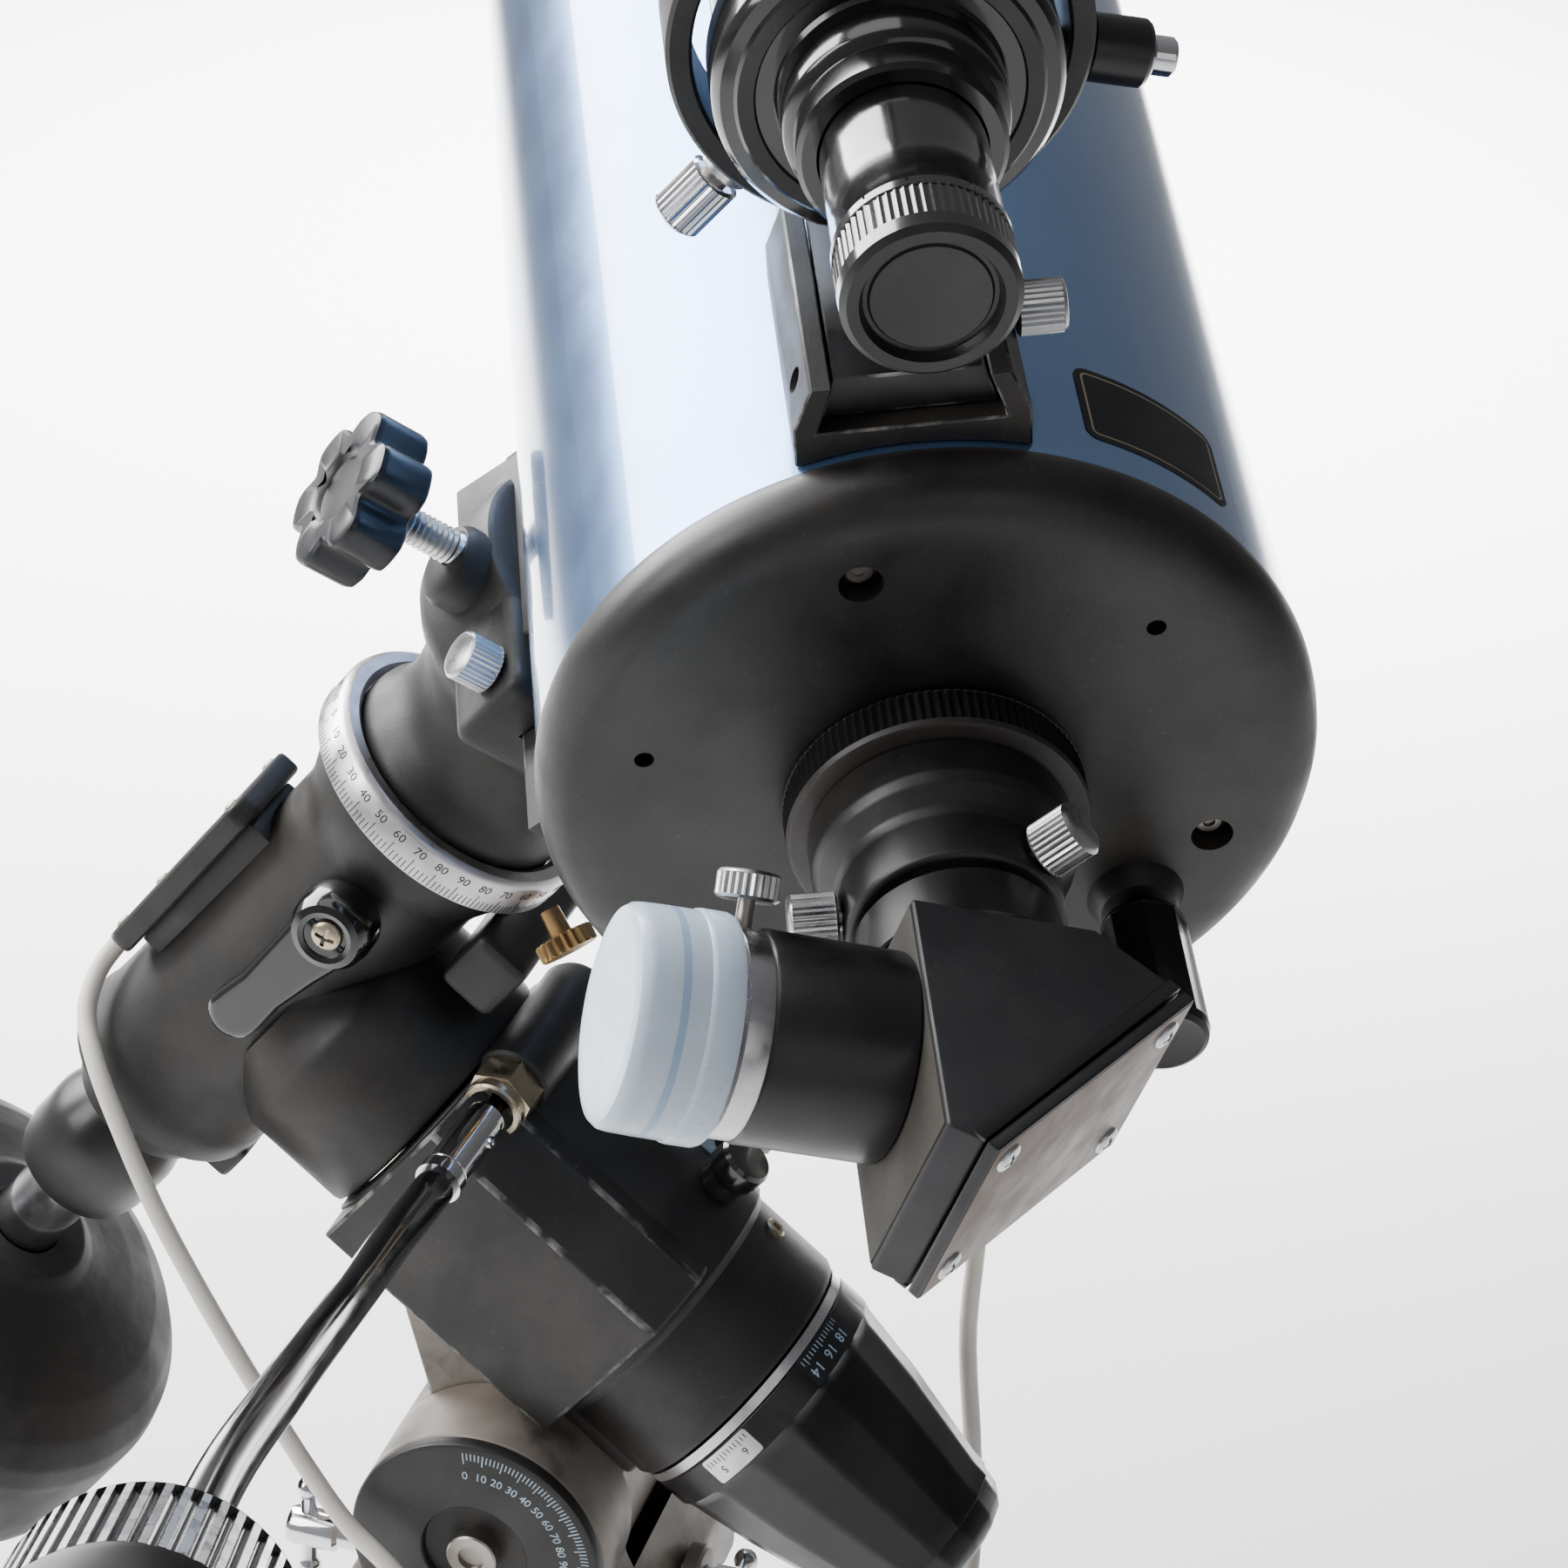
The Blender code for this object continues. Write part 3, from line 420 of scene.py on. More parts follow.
class Marks:
    """Many small raised marks gathered in one piece."""

    def __init__(self):
        self.points, self.faces = [], []

    def bar(self, place, size, lift=0.06):
        """Box centred on a frame whose Z is the surface normal."""
        x, y = size[0] / 2, size[1] / 2
        start = len(self.points)
        for z in (-0.25, lift):
            for a, b in ((-x, -y), (x, -y), (x, y), (-x, y)):
                self.points.append(place @ Vector((a, b, z)))
        for quad in ((0, 3, 2, 1), (4, 5, 6, 7), (0, 1, 5, 4), (1, 2, 6, 5), (2, 3, 7, 6), (3, 0, 4, 7)):
            self.faces.append([start + i for i in quad])

    def text(self, place, words, size, lift=0.06):
        curve = bpy.data.curves.new("glyph", "FONT")
        curve.body = words
        curve.size = size
        curve.align_x = "CENTER"
        curve.align_y = "CENTER"
        curve.extrude = lift
        curve.resolution_u = 3
        holder = add("glyph", curve)
        bpy.context.view_layer.update()
        data = bpy.data.meshes.new_from_object(holder.evaluated_get(bpy.context.evaluated_depsgraph_get()))
        start = len(self.points)
        self.points += [place @ v.co for v in data.vertices]
        self.faces += [[start + i for i in f.vertices] for f in data.polygons]
        bpy.data.objects.remove(holder, do_unlink=True)
        bpy.data.curves.remove(curve)
        bpy.data.meshes.remove(data)

    def make(self, name, body, stuff):
        return solid(name, WORLD, self.points, self.faces, body, stuff, None, 0)


def on_drum(place, axis, radius, clock, height, turn=0):
    """Frame on a drum's surface: Z out, Y along the drum's axis, turned about Z."""
    a = math.radians(clock)
    if axis == "Y":
        out, along = Vector((math.cos(a), 0, math.sin(a))), Vector((0, 1, 0))
    else:
        out, along = Vector((math.cos(a), math.sin(a), 0)), Vector((0, 0, 1))
    side = along.cross(out)
    turned = Matrix((side, along, out)).transposed().to_4x4()
    centre = out * radius + along * height
    return place @ Matrix.Translation(centre) @ turned @ Matrix.Rotation(math.radians(turn), 4, "Z")


def pointing(place, loc, way):
    """Frame at loc whose Z looks along way."""
    return place @ Matrix.Translation(loc) @ Vector(way).to_track_quat("Z", "Y").to_matrix().to_4x4()


def radial(place, clock, y):
    """Frame on the Y axis at y whose Z runs outwards at a clock angle from x towards z."""
    return at(place, (0, y, 0), (0, 90 - clock, 0))


# ---- lead of the declination motor ----
LEAD_ACROSS = 0.0046
LEAD = [(-4, 101.6, 189.1), (-6, 105.4, 184.6), (-11, 108.2, 179.2), (-19, 107.6, 172.6), (-28, 101.4, 165.4),
        (-35, 92.6, 154), (-40, 81.5, 136), (-44, 67, 114.6), (-47.5, 53, 96), (-50.5, 41, 81),
        (-53.5, 29, 68.4), (-57, 15.5, 60), (-59.5, -2, 42), (-58, -28, 24), (-50, -56, 13), (-32, -83, 9.5),
        (-6, -101, 13), (20, -106, 29), (36, -102, 55), (42, -97, 88), (42, -97, 122), (38, -92, 146),
        (30, -80, 162), (22, -66, 164.5), (17, -55, 157), (14.5, -49, 149.5)]


def spline(points, count):
    """Smooth line through the points."""
    out, last = [], len(points) - 1
    for i in range(count):
        u = i * last / (count - 1)
        k = min(int(u), last - 1)
        w = u - k
        b, c = Vector(points[k]), Vector(points[k + 1])
        a = Vector(points[k - 1]) if k > 0 else b * 2 - c
        d = Vector(points[k + 2]) if k + 2 <= last else c * 2 - b
        out.append(0.5 * (b * 2 + (c - a) * w + (a * 2 - b * 5 + c * 4 - d) * w * w
                          + (b * 3 - a - c * 3 + d) * w * w * w))
    return out


lead_line = spline(LEAD, 120)
curve = bpy.data.curves.new("lead_cable", "CURVE")
curve.dimensions = "3D"
curve.bevel_depth = LEAD_ACROSS / 2
curve.bevel_resolution = 6
curve.use_fill_caps = True
line = curve.splines.new("POLY")
line.points.add(len(lead_line) - 1)
for target, spot_mm in zip(line.points, lead_line):
    target.co = (*(spot_mm * MM), 1)
curve.materials.append(CORD)
lead = add("lead_cable", curve)
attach(lead, "polar_head")
fit(lead, "motor_lead")
T = "telescope"

# ---- optical tube ----
fit(lathe("tube_skin", OTA, "Y", [(TUBE_R, 0.35), (TUBE_R, 299.9, 1), (70, 299.9, 1), (70, 0.35, 1)], T,
          [BLUE, DEEP], 288, True), "main_tube")


def panel(name, place, radius, clock, y, corner, inset, low, high, body, stuff, columns=40):
    """Thin rounded-corner sheet bent round a drum on Y. clock and y are (from, to); inset shrinks it."""
    lo, hi = radius * math.radians(clock[0]) + inset, radius * math.radians(clock[1]) - inset
    y0, y1 = y[0] + inset, y[1] - inset
    corner = max(0.3, corner - inset)
    points, faces = [], []
    for i in range(columns + 1):
        s = lo + (hi - lo) * (0.5 - 0.5 * math.cos(math.pi * i / columns))
        edge = min(s - lo, hi - s)
        drop = 0 if edge >= corner else corner - math.sqrt(max(0, corner ** 2 - (corner - edge) ** 2))
        drop = min(drop, (y1 - y0) / 2 - 0.02)
        a = s / radius
        for r in (radius + low, radius + high):
            for h in (y0 + drop, y1 - drop):
                points.append((r * math.cos(a), h, r * math.sin(a)))
    for i in range(columns):
        p, q = 4 * i, 4 * i + 4
        faces += [[p, p + 1, q + 1, q], [p + 2, q + 2, q + 3, p + 3],
                  [p, q, q + 2, p + 2], [p + 1, p + 3, q + 3, q + 1]]
    faces += [[0, 2, 3, 1], [4 * columns, 4 * columns + 1, 4 * columns + 3, 4 * columns + 2]]
    return solid(name, place, points, faces, body, stuff, None, 20)


for name, inset, lift, stuff in (("data_label", 0, 0.16, INK), ("data_label_line", 1.3, 0.2, NICKEL),
                                 ("data_label_field", 1.75, 0.24, INK)):
    panel(name, OTA, TUBE_R, (80, 106.3), (8, 28.4), 2.8, inset, -0.2, lift, T, stuff)

CELL_HOLES_R = 54.7
REAR = [(15.4, -8.5), (15.4, -11.9), (16, -12.3), (60, -12.35), (64, -12.1), (67, -11.3), (69.4, -9.9),
        (71.2, -8), (72.3, -5.6), (72.7, -3), (72.7, -1.2, 1), (72.3, -0.1, 1), (69.7, 0), (69.7, 10),
        (66, 10), (64, -5), (18, -5), (18, -8.5)]
rear = lathe("rear_casting", OTA, "Y", REAR, T, [CELL, RIM, DEEP], 288, True)


def cell_spot(clock):
    """Frame on the circle of the rear cell's small holes."""
    a = math.radians(clock)
    return at(OTA, (CELL_HOLES_R * math.cos(a), 0, CELL_HOLES_R * math.sin(a)))


fit(carve(rear, [drill(cell_spot(clock + 120 * k), "Y", radius, -20, depth, 40) for k in range(3) for clock,
                 radius, depth in ((24, 4, -7.2), (84, 1.8, -9.5))]), "rear_cell")
for k in range(3):
    lathe("mirror_screw_%d" % (k + 1), cell_spot(24 + 120 * k), "Y",
          [(3.5, -7.25), (3.5, -8.2), (2.4, -8.9), (1.2, -8.9), (1.1, -8.3), (0, -8.3)], T, STEEL, 32)
lathe("focus_boss", at(OTA, (49, 0, 2)), "Y",
      [(3.35, -11.5), (9.6, -11.5), (9, -13), (7.9, -15.6), (7.2, -16.5), (3.35, -16.6)], T, CELL, 72, True)
fit(lathe("focus_grip", at(OTA, (49, 0, 2)), "Y",
          [(0, 8), (3, 8), (3, -18.8), (6.6, -19.2), (8, -20.6), (8.4, -21.6), (8.4, -21.7), (8.3, -47.6),
           (8.3, -47.7), (7.8, -49.4), (6.8, -50, 1), (5.9, -49.7, 1), (0, -49.6)], "focus_knob",
          [DARK, CELL], 160, False, ribs(8, 0.9, -47.65, -21.65, 0.5)), "focus_knob")
fit(lathe("lock_ring_ribbed", OTA, "Y",
          [(16.4, -12.4), (26.9, -12.4), (28, -13.4), (28, -13.5), (28, -20.6), (28, -20.7, 1),
           (27.6, -21.7, 1), (26.9, -22, 1), (16.4, -22)], "lock_ring", [DARK, RIM], 600, True,
          ribs(100, 0.55, -20.65, -13.45, 0.7)), "lock_ring")
back = lathe("visual_back_body", OTA, "Y",
             rounded([(16.2, -47), (19.2, -47), (20, -46.2), (20, -36.8), (20.6, -35), (23.4, -32),
                      (24.2, -30), (24.3, -22.4), (16.2, -22.4)], 0.4), T, [CELL, RIM], 192, True)
SCREW_PLACES = [radial(OTA, clock, -41.5) for clock in (80, -140)]
fit(carve(back, [drill(place, "Z", 2.2, 12, 40) for place in SCREW_PLACES]), "visual_back")
for k, place in enumerate(SCREW_PLACES):
    thumbscrew("back_thumbscrew_%d" % (k + 1), place, "visual_back_screw_%d" % (k + 1), 5.3, 20.6, 29.5, 1.9,
               16.4, 30)
fit(lathe("front_casting", OTA, "Y",
          [(65.8, 288), (69.7, 288), (69.7, 300.3), (72.6, 300.3), (73.2, 300.9), (73.2, 302),
           (73.2, 302.1, 1), (73.2, 318.4), (73.2, 318.5), (73, 321.4), (71.6, 323), (64.6, 323), (63.5, 322),
           (63.5, 318.3), (65.8, 318.3)], T, [CELL, DARK], 480, True, ribs(120, 0.5, 302.05, 318.45, 0.7)),
    "front_cell")
lathe("lens_retainer", OTA, "Y", [(63.6, 318.4), (65.2, 318.4), (65, 320.6), (63.6, 321.4)], T, DARK, 144,
      True)

# ---- diagonal ----
D = "diagonal"
fit(lathe("diagonal_barrel", DIA, "Y",
          [(14.2, 20.3), (15.85, 20.3), (15.85, 30), (15.2, 31), (15.2, 36), (15.85, 37), (15.85, 55.4),
           (15.4, 56), (14.2, 56)], D, CHROME, 128, True), "diagonal_nose")
shell = prism("diagonal_shell", DIA, "Z", [(16.9, 20), (-17, 20), (-31, 8.4), (10.8, -33.4), (16.9, -31)],
              -19, 19, D, [MATT, RIM], 0.9, 3)
shell = carve(shell, [prism("tool", DIA, "Z", [(15, 18), (-16.4, 18), (-27.2, 9.4), (-31, 3), (5, -33),
                                               (11, -30.4), (15, -28.4)], -17, 17, None, None),
                      drill(DIA, "Y", 14.2, 5, 40, 64), drill(DIA, "X", 15.2, 5, 40, 64)])
fit(shell, "diagonal_housing")
fit(prism("mirror_plate", DIA, "Z", [(-31.3, 8.05), (-33.1, 6.3), (8.9, -35.7), (10.7, -33.95)], -19.4, 19.4,
          D, [MATT, DARK], 0.5, 2, 1), "diagonal_back_plate")
prism("plate_sheet", DIA, "Z", [(-32.6, 6.4), (-32.95, 6.05), (8.65, -35.55), (9, -35.2)], -18.9, 18.9, D,
      BRONZE, 0.1)
lathe("diagonal_collar", DIA, "Y",
      [(15.95, 20.1), (18.4, 20.1), (18.8, 20.5), (18.8, 30.8), (18.2, 31.6), (15.95, 31.8)], D, DARK, 144,
      True)
for z in (-1, 1):
    prism("plate_edge_bar_%d" % (z + 2), DIA, "Z", [(-30.9, 8.6), (-28.9, 10.4), (12.8, -32), (10.9, -33.6)],
          z * 19 - 0.45, z * 19 + 0.45, D, DARK, 0.3)
front = prism("diagonal_front_plate", DIA, "X", [(-30.2, -18.2), (19.2, -18.2), (19.2, 18.2), (-30.2, 18.2)],
              16.6, 17.22, D, [DUSTY, RIM], 0.25)
carve(front, [drill(DIA, "X", 15.4, 10, 20, 64)])
along = Vector((0.7071, -0.7071, 0))
for k, (s, z) in enumerate(((-24, -14), (-24, 14), (24, -14), (24, 14))):
    spot_mm = Vector((-12.1, -14.7, z)) + along * s
    cross_screw("plate_screw_%d" % (k + 1), pointing(DIA, spot_mm, (-1, -1, 0)), D, 2.8, 1.1, SILVER)
holder = lathe("eyepiece_tube", DIA, "X",
               [(16.1, 17.35), (18, 17.35), (18.3, 17.8), (18.3, 42.2), (18.1, 42.6), (17.7, 42.8, 1),
                (17.9, 43.2, 1), (17.9, 47.3, 1), (17.4, 47.9, 0), (17.2, 48.4), (17.2, 60), (16.1, 60)], D,
               [DARK, SILVER], 192, True)
place = at(DIA, (45.6, 0, 0), (-132, 0, 0))
fit(carve(holder, [drill(place, "Z", 1.85, 9, 31)]), "eyepiece_holder")
thumbscrew("holder_thumbscrew", place, "holder_screw", 5.6, 22.4, 27.4, 1.5, 14.5, 26)
# The band from 59.4 to 58 takes the painted shade copy of the milky plastic.
fit(lathe("eyepiece_cap", DIA, "X",
          [(0, 66.2), (13, 66.3), (16.6, 66.6), (18.3, 66.1), (19.1, 65), (19.3, 63.6), (19.45, 59.4, 1),
           (19.45, 58), (19.5, 54.4), (19.8, 54), (19.9, 53.4), (19.9, 49.4), (19.6, 48.6), (18.4, 48.6),
           (18, 64.2), (0, 65)], "dust_cap", [MILK, CAP_PAINTED_SHADE], 192), "dust_cap")

# ---- finder ----
fit(lathe("finder_skin", FAX, "Y", [(28, 24.2), (28, 150), (26.4, 150), (26.4, 24.2)], T, [SKY, DEEP], 160,
          True), "finder_tube")
fit(lathe("finder_rear_ring", FAX, "Y",
          [(14.2, 2), (16.6, 2), (17.5, 2.8), (17.5, 8.4), (17, 9), (18.6, 10), (19, 10.8), (19, 19.2),
           (19.6, 20), (22.5, 20.1, 1), (22.9, 19.6, 1), (25.6, 19.6), (26.2, 20.2), (28.4, 20.7), (29.5, 22),
           (29.8, 23.4), (29.8, 33.4), (29.3, 34), (28.3, 34), (28.3, 23.7), (14.2, 23.7)], T, [SHINY, DARK],
          192, True), "finder_rear_cell")
fit(lathe("finder_ocular", FAX, "Y",
          [(0, -36.2, 1), (9.6, -36.4, 1), (10, -36, 1), (10.7, -36, 1), (11, -36.5, 1), (11.5, -37.8, 1),
           (13.4, -37.8, 1), (14.5, -36.8), (14.6, -33.9), (14.5, -33.8), (14.5, -26.2), (14.6, -26.1),
           (14.6, -24.4), (14.1, -23.6), (13.9, -12), (13.9, 18), (0, 18)], "finder_eyepiece", [SHINY, DARK],
          320, False, ribs(64, 0.22, -33.85, -26.15, 0.7)), "finder_eyepiece")
fit(lathe("finder_front_ring", FAX, "Y",
          [(26, 150.3), (29.3, 150.3), (30.2, 151.4), (31.3, 155), (31.5, 156.6), (31.5, 156.7),
           (31.5, 181.8), (31.5, 181.9), (31.1, 184), (30.3, 184), (30, 160), (26, 154)], T, DARK, 240, True,
          ribs(60, 0.35, 156.65, 181.85)), "finder_objective_cell")
ring = lathe("finder_ring", FAX, "Y",
             [(32, 34.6), (32.6, 34), (35.8, 34), (36.5, 34.7), (36.5, 51.3), (35.8, 52), (32.6, 52),
              (32, 51.4)], T, CAST, 192, True)
AIM_PLACES = [radial(FAX, clock, 43) for clock in (105, 225, -15)]
fit(carve(ring, [drill(place, "Z", 2.9, 25, 45) for place in AIM_PLACES]), "finder_bracket")
prism("finder_stem", FND, "X", [(12, 82), (52, 82), (50.6, 98.5), (35.4, 98.5)], -8.8, 8.8, T, [CAST, WORN],
      1.3, 3, 0)
prism("finder_dovetail", FND, "Y", [(-15.5, 76.5), (15.5, 76.5), (13.2, 84.4), (-13.2, 84.4)], 6.1, 53.9, T,
      [DARK, WORN], 0.45, 2, 1)
for k, place in enumerate(AIM_PLACES[:2]):
    name = "finder_screw_%d" % (k + 1)
    thumbscrew("aim_" + name, place, name, 5, 41, 52.5, 2.6, 28.4, 24, CHROME, CHROME)
    lathe("aim_nut_%d" % (k + 1), place, "Z",
          [(2.65, 36.7), (4.6, 36.7), (4.9, 37.1), (4.9, 39.2), (4.6, 39.6), (2.65, 39.6)], T, SILVER, 120,
          True)
fit(lathe("spring_plunger", AIM_PLACES[2], "Z",
          [(0, 28.4), (2.6, 28.4), (2.6, 36.8), (5.2, 36.8), (6, 37.6), (6, 47.2), (5.4, 48, 1), (3.5, 49, 1),
           (3.5, 52.4, 1), (3, 53, 1), (0, 53)], "finder_plunger", [DARK, CHROME], 120, False,
          ribs(20, 0.3, 37.65, 47.15)), "finder_plunger")
shoe = prism("finder_base", FND, "Y",
             [(-20.8, 66), (20.8, 66), (20.8, 77), (17.5, 85.5), (13.5, 85.5), (16.6, 76.1), (-16.6, 76.1),
              (-13.5, 85.5), (-17.5, 85.5), (-20.8, 77)], 2, 57, None, [CAST, WORN])
carve(shoe, [drill(OTA, "Y", 72.35, -100, 200, 256), drill(at(FND, (0, 26, 80.5)), "X", 2.2, 10, 30, 24),
             drill(at(FND, (0, 12, 80.5)), "X", 2.3, -30, -10, 24)])
bevel(shoe, 0.45, 2, 1, 0.6, 0.005)
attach(shoe, T)
fit(shoe, "finder_shoe")
thumbscrew("shoe_thumbscrew", at(FND, (0, 26, 80.5), (0, 90, 0)), "shoe_screw", 5, 21, 30, 1.9, 15.9)

# ---- saddle and declination ----
PILLAR = [(0, -59.5), (12, -59.5), (12, 62.4), (24, 62.4), (28, 64.4), (28, 75), (27.4, 77.5), (25.6, 80.5),
          (24.8, 84.5), (25.2, 89), (26.6, 95), (30, 101), (35, 105.4), (37.4, 108.4), (38, 111.5),
          (38, 131), (37.2, 133.2), (35.8, 134), (0, 134)]
pillar = lathe("saddle_pillar", DEC, "Z", PILLAR, None, [CAST, RIM], 160)
deck = block("saddle_deck", DEC, (-33, -46, 112), (33, 16, 134), None, [CAST, WORN], 4, 5, 0)
ear = prism("saddle_ear", DEC, "Y",
            [(-34, 118), (-22.9, 118), (-21.4, 132), (-22.6, 139), (-25.4, 140.5), (-28.6, 139)], -30, 30,
            None, [CAST, WORN], 1.2, 3, 0)
carve(pillar, [deck, ear], "UNION")
KNOB = at(DEC, (0, -5, 128))
groove = prism("tool", DEC, "Y", [(-22.9, 121.5), (22.9, 121.5), (20.2, 136), (-20.2, 136)], -70, 70, None,
               None)
carve(pillar, [groove, drill(OTA, "Y", 72.6, -200, 320, 192), drill(KNOB, "X", 4.3, -60, -10),
               drill(at(DEC, (0, -37, 127)), "X", 3.3, -60, -10)])
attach(pillar, T)
fit(pillar, "saddle")
boss = lathe("saddle_boss", at(DEC, (0, -5, 124)), "X",
             [(0, -43), (6, -43), (8.4, -42), (9.4, -40), (9.5, -30), (0, -30)], None, CAST, 64)
carve(boss, [drill(KNOB, "X", 4.2, -60, -10)])
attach(boss, T)


def knob_lobes(angle, height, radius):
    if height > -59.2 or radius < 10:
        return radius
    wave = 0.5 - 0.5 * math.cos(6 * angle + 0.6)
    return radius * (1 - 0.24 * wave ** 2.2)


fit(lathe("saddle_hand_knob", KNOB, "X",
          [(0, -71.2, 1), (7.6, -71.3, 1), (8.2, -72, 0), (9.2, -72.6), (10.4, -72.8), (16.4, -72.8),
           (17.6, -72.2), (18, -71.2), (18, -70.8), (18, -61.4), (17.6, -60.2), (16.4, -59.5),
           (6.5, -59.3, 2),
           (4, -58.4, 2)] + [(4 - 0.45 * (k % 2), -58 + 0.7 * k,
                              2) for k in range(22)] + [(4, -42.4, 2), (4, -24.2, 2), (0, -24.2)],
          "saddle_knob", [NAVY, DARK, SILVER], 240, False, knob_lobes), "saddle_knob")
thumbscrew("safety_thumbscrew", at(DEC, (0, -37, 127), (0, -90, 0)), "saddle_screw", 5.4, 33.6, 42, 3, 24.2,
           30)
bar = prism("dovetail", DEC, "Y",
            [(-22.4, 122), (22.4, 122), (19.6, 136.5), (17, 145), (-17, 145), (-19.6, 136.5)], -74, 46, T,
            [CAST, WORN], 0.6, 2, 1)
fit(carve(bar, [drill(OTA, "Y", 72.3, -200, 320, 256)]), "dovetail_bar")
fit(lathe("setting_circle", DEC, "Z",
          [(28.4, 64), (33.2, 64), (34, 64.6), (34, 72.8), (33.4, 73.8), (32.4, 74.5), (29.8, 74.5),
           (28.4, 73.4)], "declination_dial", CIRCLE, 240, True), "declination_circle")
marks = Marks()
for k in range(180):
    long = k % 5 == 0
    marks.bar(on_drum(DEC, "Z", 34, 2 * k, 66.1 + (0.7 if long else 0)), (0.22, 4 if long else 2.4), 0.05)
for k in range(36):
    value = abs(((k * 10 + 90) % 180) - 90)
    marks.text(on_drum(DEC, "Z", 34, 10 * k, 70.9), str(value), 3.1, 0.05)
marks.make("circle_marks", "declination_dial", INK)

# ---- declination body ----
H = "declination_head"
fit(lathe("declination_barrel", POL, "Z",
          [(12.5, -60), (15.4, -60), (18.6, -58.4), (20.4, -54), (21.8, -49.4), (24, -48.4), (26.2, -48),
           (26.6, -47), (26.6, -40.6), (26, -38.4), (25.6, -30), (25, 20), (25, 46), (25.8, 50), (28.2, 56),
           (28.2, 61.2), (27.6, 62), (12.5, 62)], H, CAST, 192, True), "declination_housing")
lathe("polar_end", POL, "Y",
      [(16.4, -49), (32, -49), (33.2, -48.4), (33.6, -47), (33.6, -21), (32.4, -18.5), (28, -12), (26, -8.2),
       (16.4, -8.2)], H, CAST, 192, True)
block("declination_foot", POL, (-8, -27, -56), (8, 6, -45), H, [CAST, RIM], 2.2, 3)
block("slow_worm_case", POL, (-21, -42, 40), (21, -27.5, 57), H, [CAST, RIM], 3, 4)
fit(lathe("polar_axis_tube", POL, "Y", [(16, -146.5), (16, -24.3), (12, -24.3), (12, -146.5)], H, STEEL, 96,
          True), "polar_shaft")
for x in (-1, 1):
    lathe("body_bolt_%d" % (x + 2), pointing(POL, (x * 14, -33.5, 14), (0, -1, 0)), "Z",
          [(0, -1), (3.4, -1), (3.4, 1.6), (3, 2), (2, 2), (1.9, 0.6), (0, 0.6)], H, STEEL, 40)
fit(prism("motor_case", POL, "Y",
          [(-14.5, -19), (8.5, -19), (11.4, -15.5), (12, -8), (12, 33), (9, 37), (-15, 37), (-18, 33),
           (-18, -8), (-17.4, -15.5)], 26.95, 33, H, CAST, 1.5, 3, 0), "declination_motor_box")
prism("motor_cradle", POL, "Y", [(-13, -14), (7, -14), (9, 32), (-14, 32)], 20.5, 27.1, H, CAST, 1)
block("motor_case_label", POL, (-9, 32.6, 2), (4, 33.12, 12), H, WHITE, 0.15)
for x, z in ((-14, 32), (8, 32), (-14, -13), (8, -13)):
    cross_screw("motor_screw_%d_%d" % (x + 20, z + 20), pointing(POL, (x, 32.9, z), (0, 1, 0)), H, 1.9, 0.8)
fit(lathe("collar", POL, "Z",
          [(9.6, -92), (12.2, -92), (13.6, -91.4), (16.2, -89), (17.3, -84), (17.3, -76), (17.3, -72),
           (16.6, -68.6), (15, -64), (13.6, -61), (12.6, -60.4), (9.6, -60.4)], H, [DARK, RIM], 128, True),
    "shaft_collar")
fit(lathe("weight_bar", POL, "Z",
          [(0, -316), (9.4, -316), (12.4, -315), (13, -313), (13, -312.9, 1), (13, -305, 1), (13, -304.9, 1),
           (12, -302.4), (9.25, -302.3), (9.25, -63), (0, -63)], H, [CHROME, SILVER], 192, False,
          ribs(48, 0.35, -312.95, -304.95)), "counterweight_shaft")
lathe("slow_motion_gear", pointing(POL, (-19.5, -52, 66), (0.35, 1, 0.2)), "Z",
      [(0, 8), (6.6, 8), (7, 8.4), (7, 11.6), (6.6, 12), (2.6, 12), (2.4, 18.5), (0, 18.5)], H, BRASS, 144,
      False, ribs(20, 1, 8.3, 11.7, 0.8))
fit(lathe("weight_body", POL, "Z",
          rounded([(9.7, -114.6), (10.4, -114), (17, -114), (20.4, -116.4), (26, -118.6), (36, -122),
                   (46, -126.4), (54, -132.4), (58.4, -138), (60, -143.4), (60, -168), (59, -173),
                   (55.6, -177), (49, -179.6), (44, -180), (40, -179.2), (20, -179.2), (18, -180),
                   (9.7, -180)], 0.8), "counterweight", IRON, 224, True), "counterweight")
thumbscrew("weight_thumbscrew", at(POL, (0, 0, -155), (-90, 0, 0)), "counterweight_screw", 9, 61.2, 73, 4.9,
           10.2, 40)
L = "declination_lever"
LEVER = at(POL, (0, -2, 39))
fit(lathe("lever_hub", LEVER, "X",
          [(0, -35.2), (4.6, -35.2), (5.2, -36.6), (6.4, -37), (8, -36.4), (9.2, -34.6), (9.8, -31),
           (9.8, -27.2), (9, -26.4), (0, -26.3)], L, SHINY, 96), "declination_clamp_lever")
prism("lever_arm", at(LEVER, (0, 0, 0), (4, 0, 0)), "X",
      [(-8.4, 1), (-6.6, -12), (-5.6, -24), (-6.4, -32)] + arc(0.2, -34.2, 6.4, 190, 350, 12)
      + [(6.6, -32), (6, -24), (7, -12), (8.4, 1)], -36.2, -29.2, L, SHINY, 2.6, 5)
cross_screw("lever_screw", pointing(POL, (-35.2, -2, 39), (-1, 0, 0)), L, 3.8, 1.9)

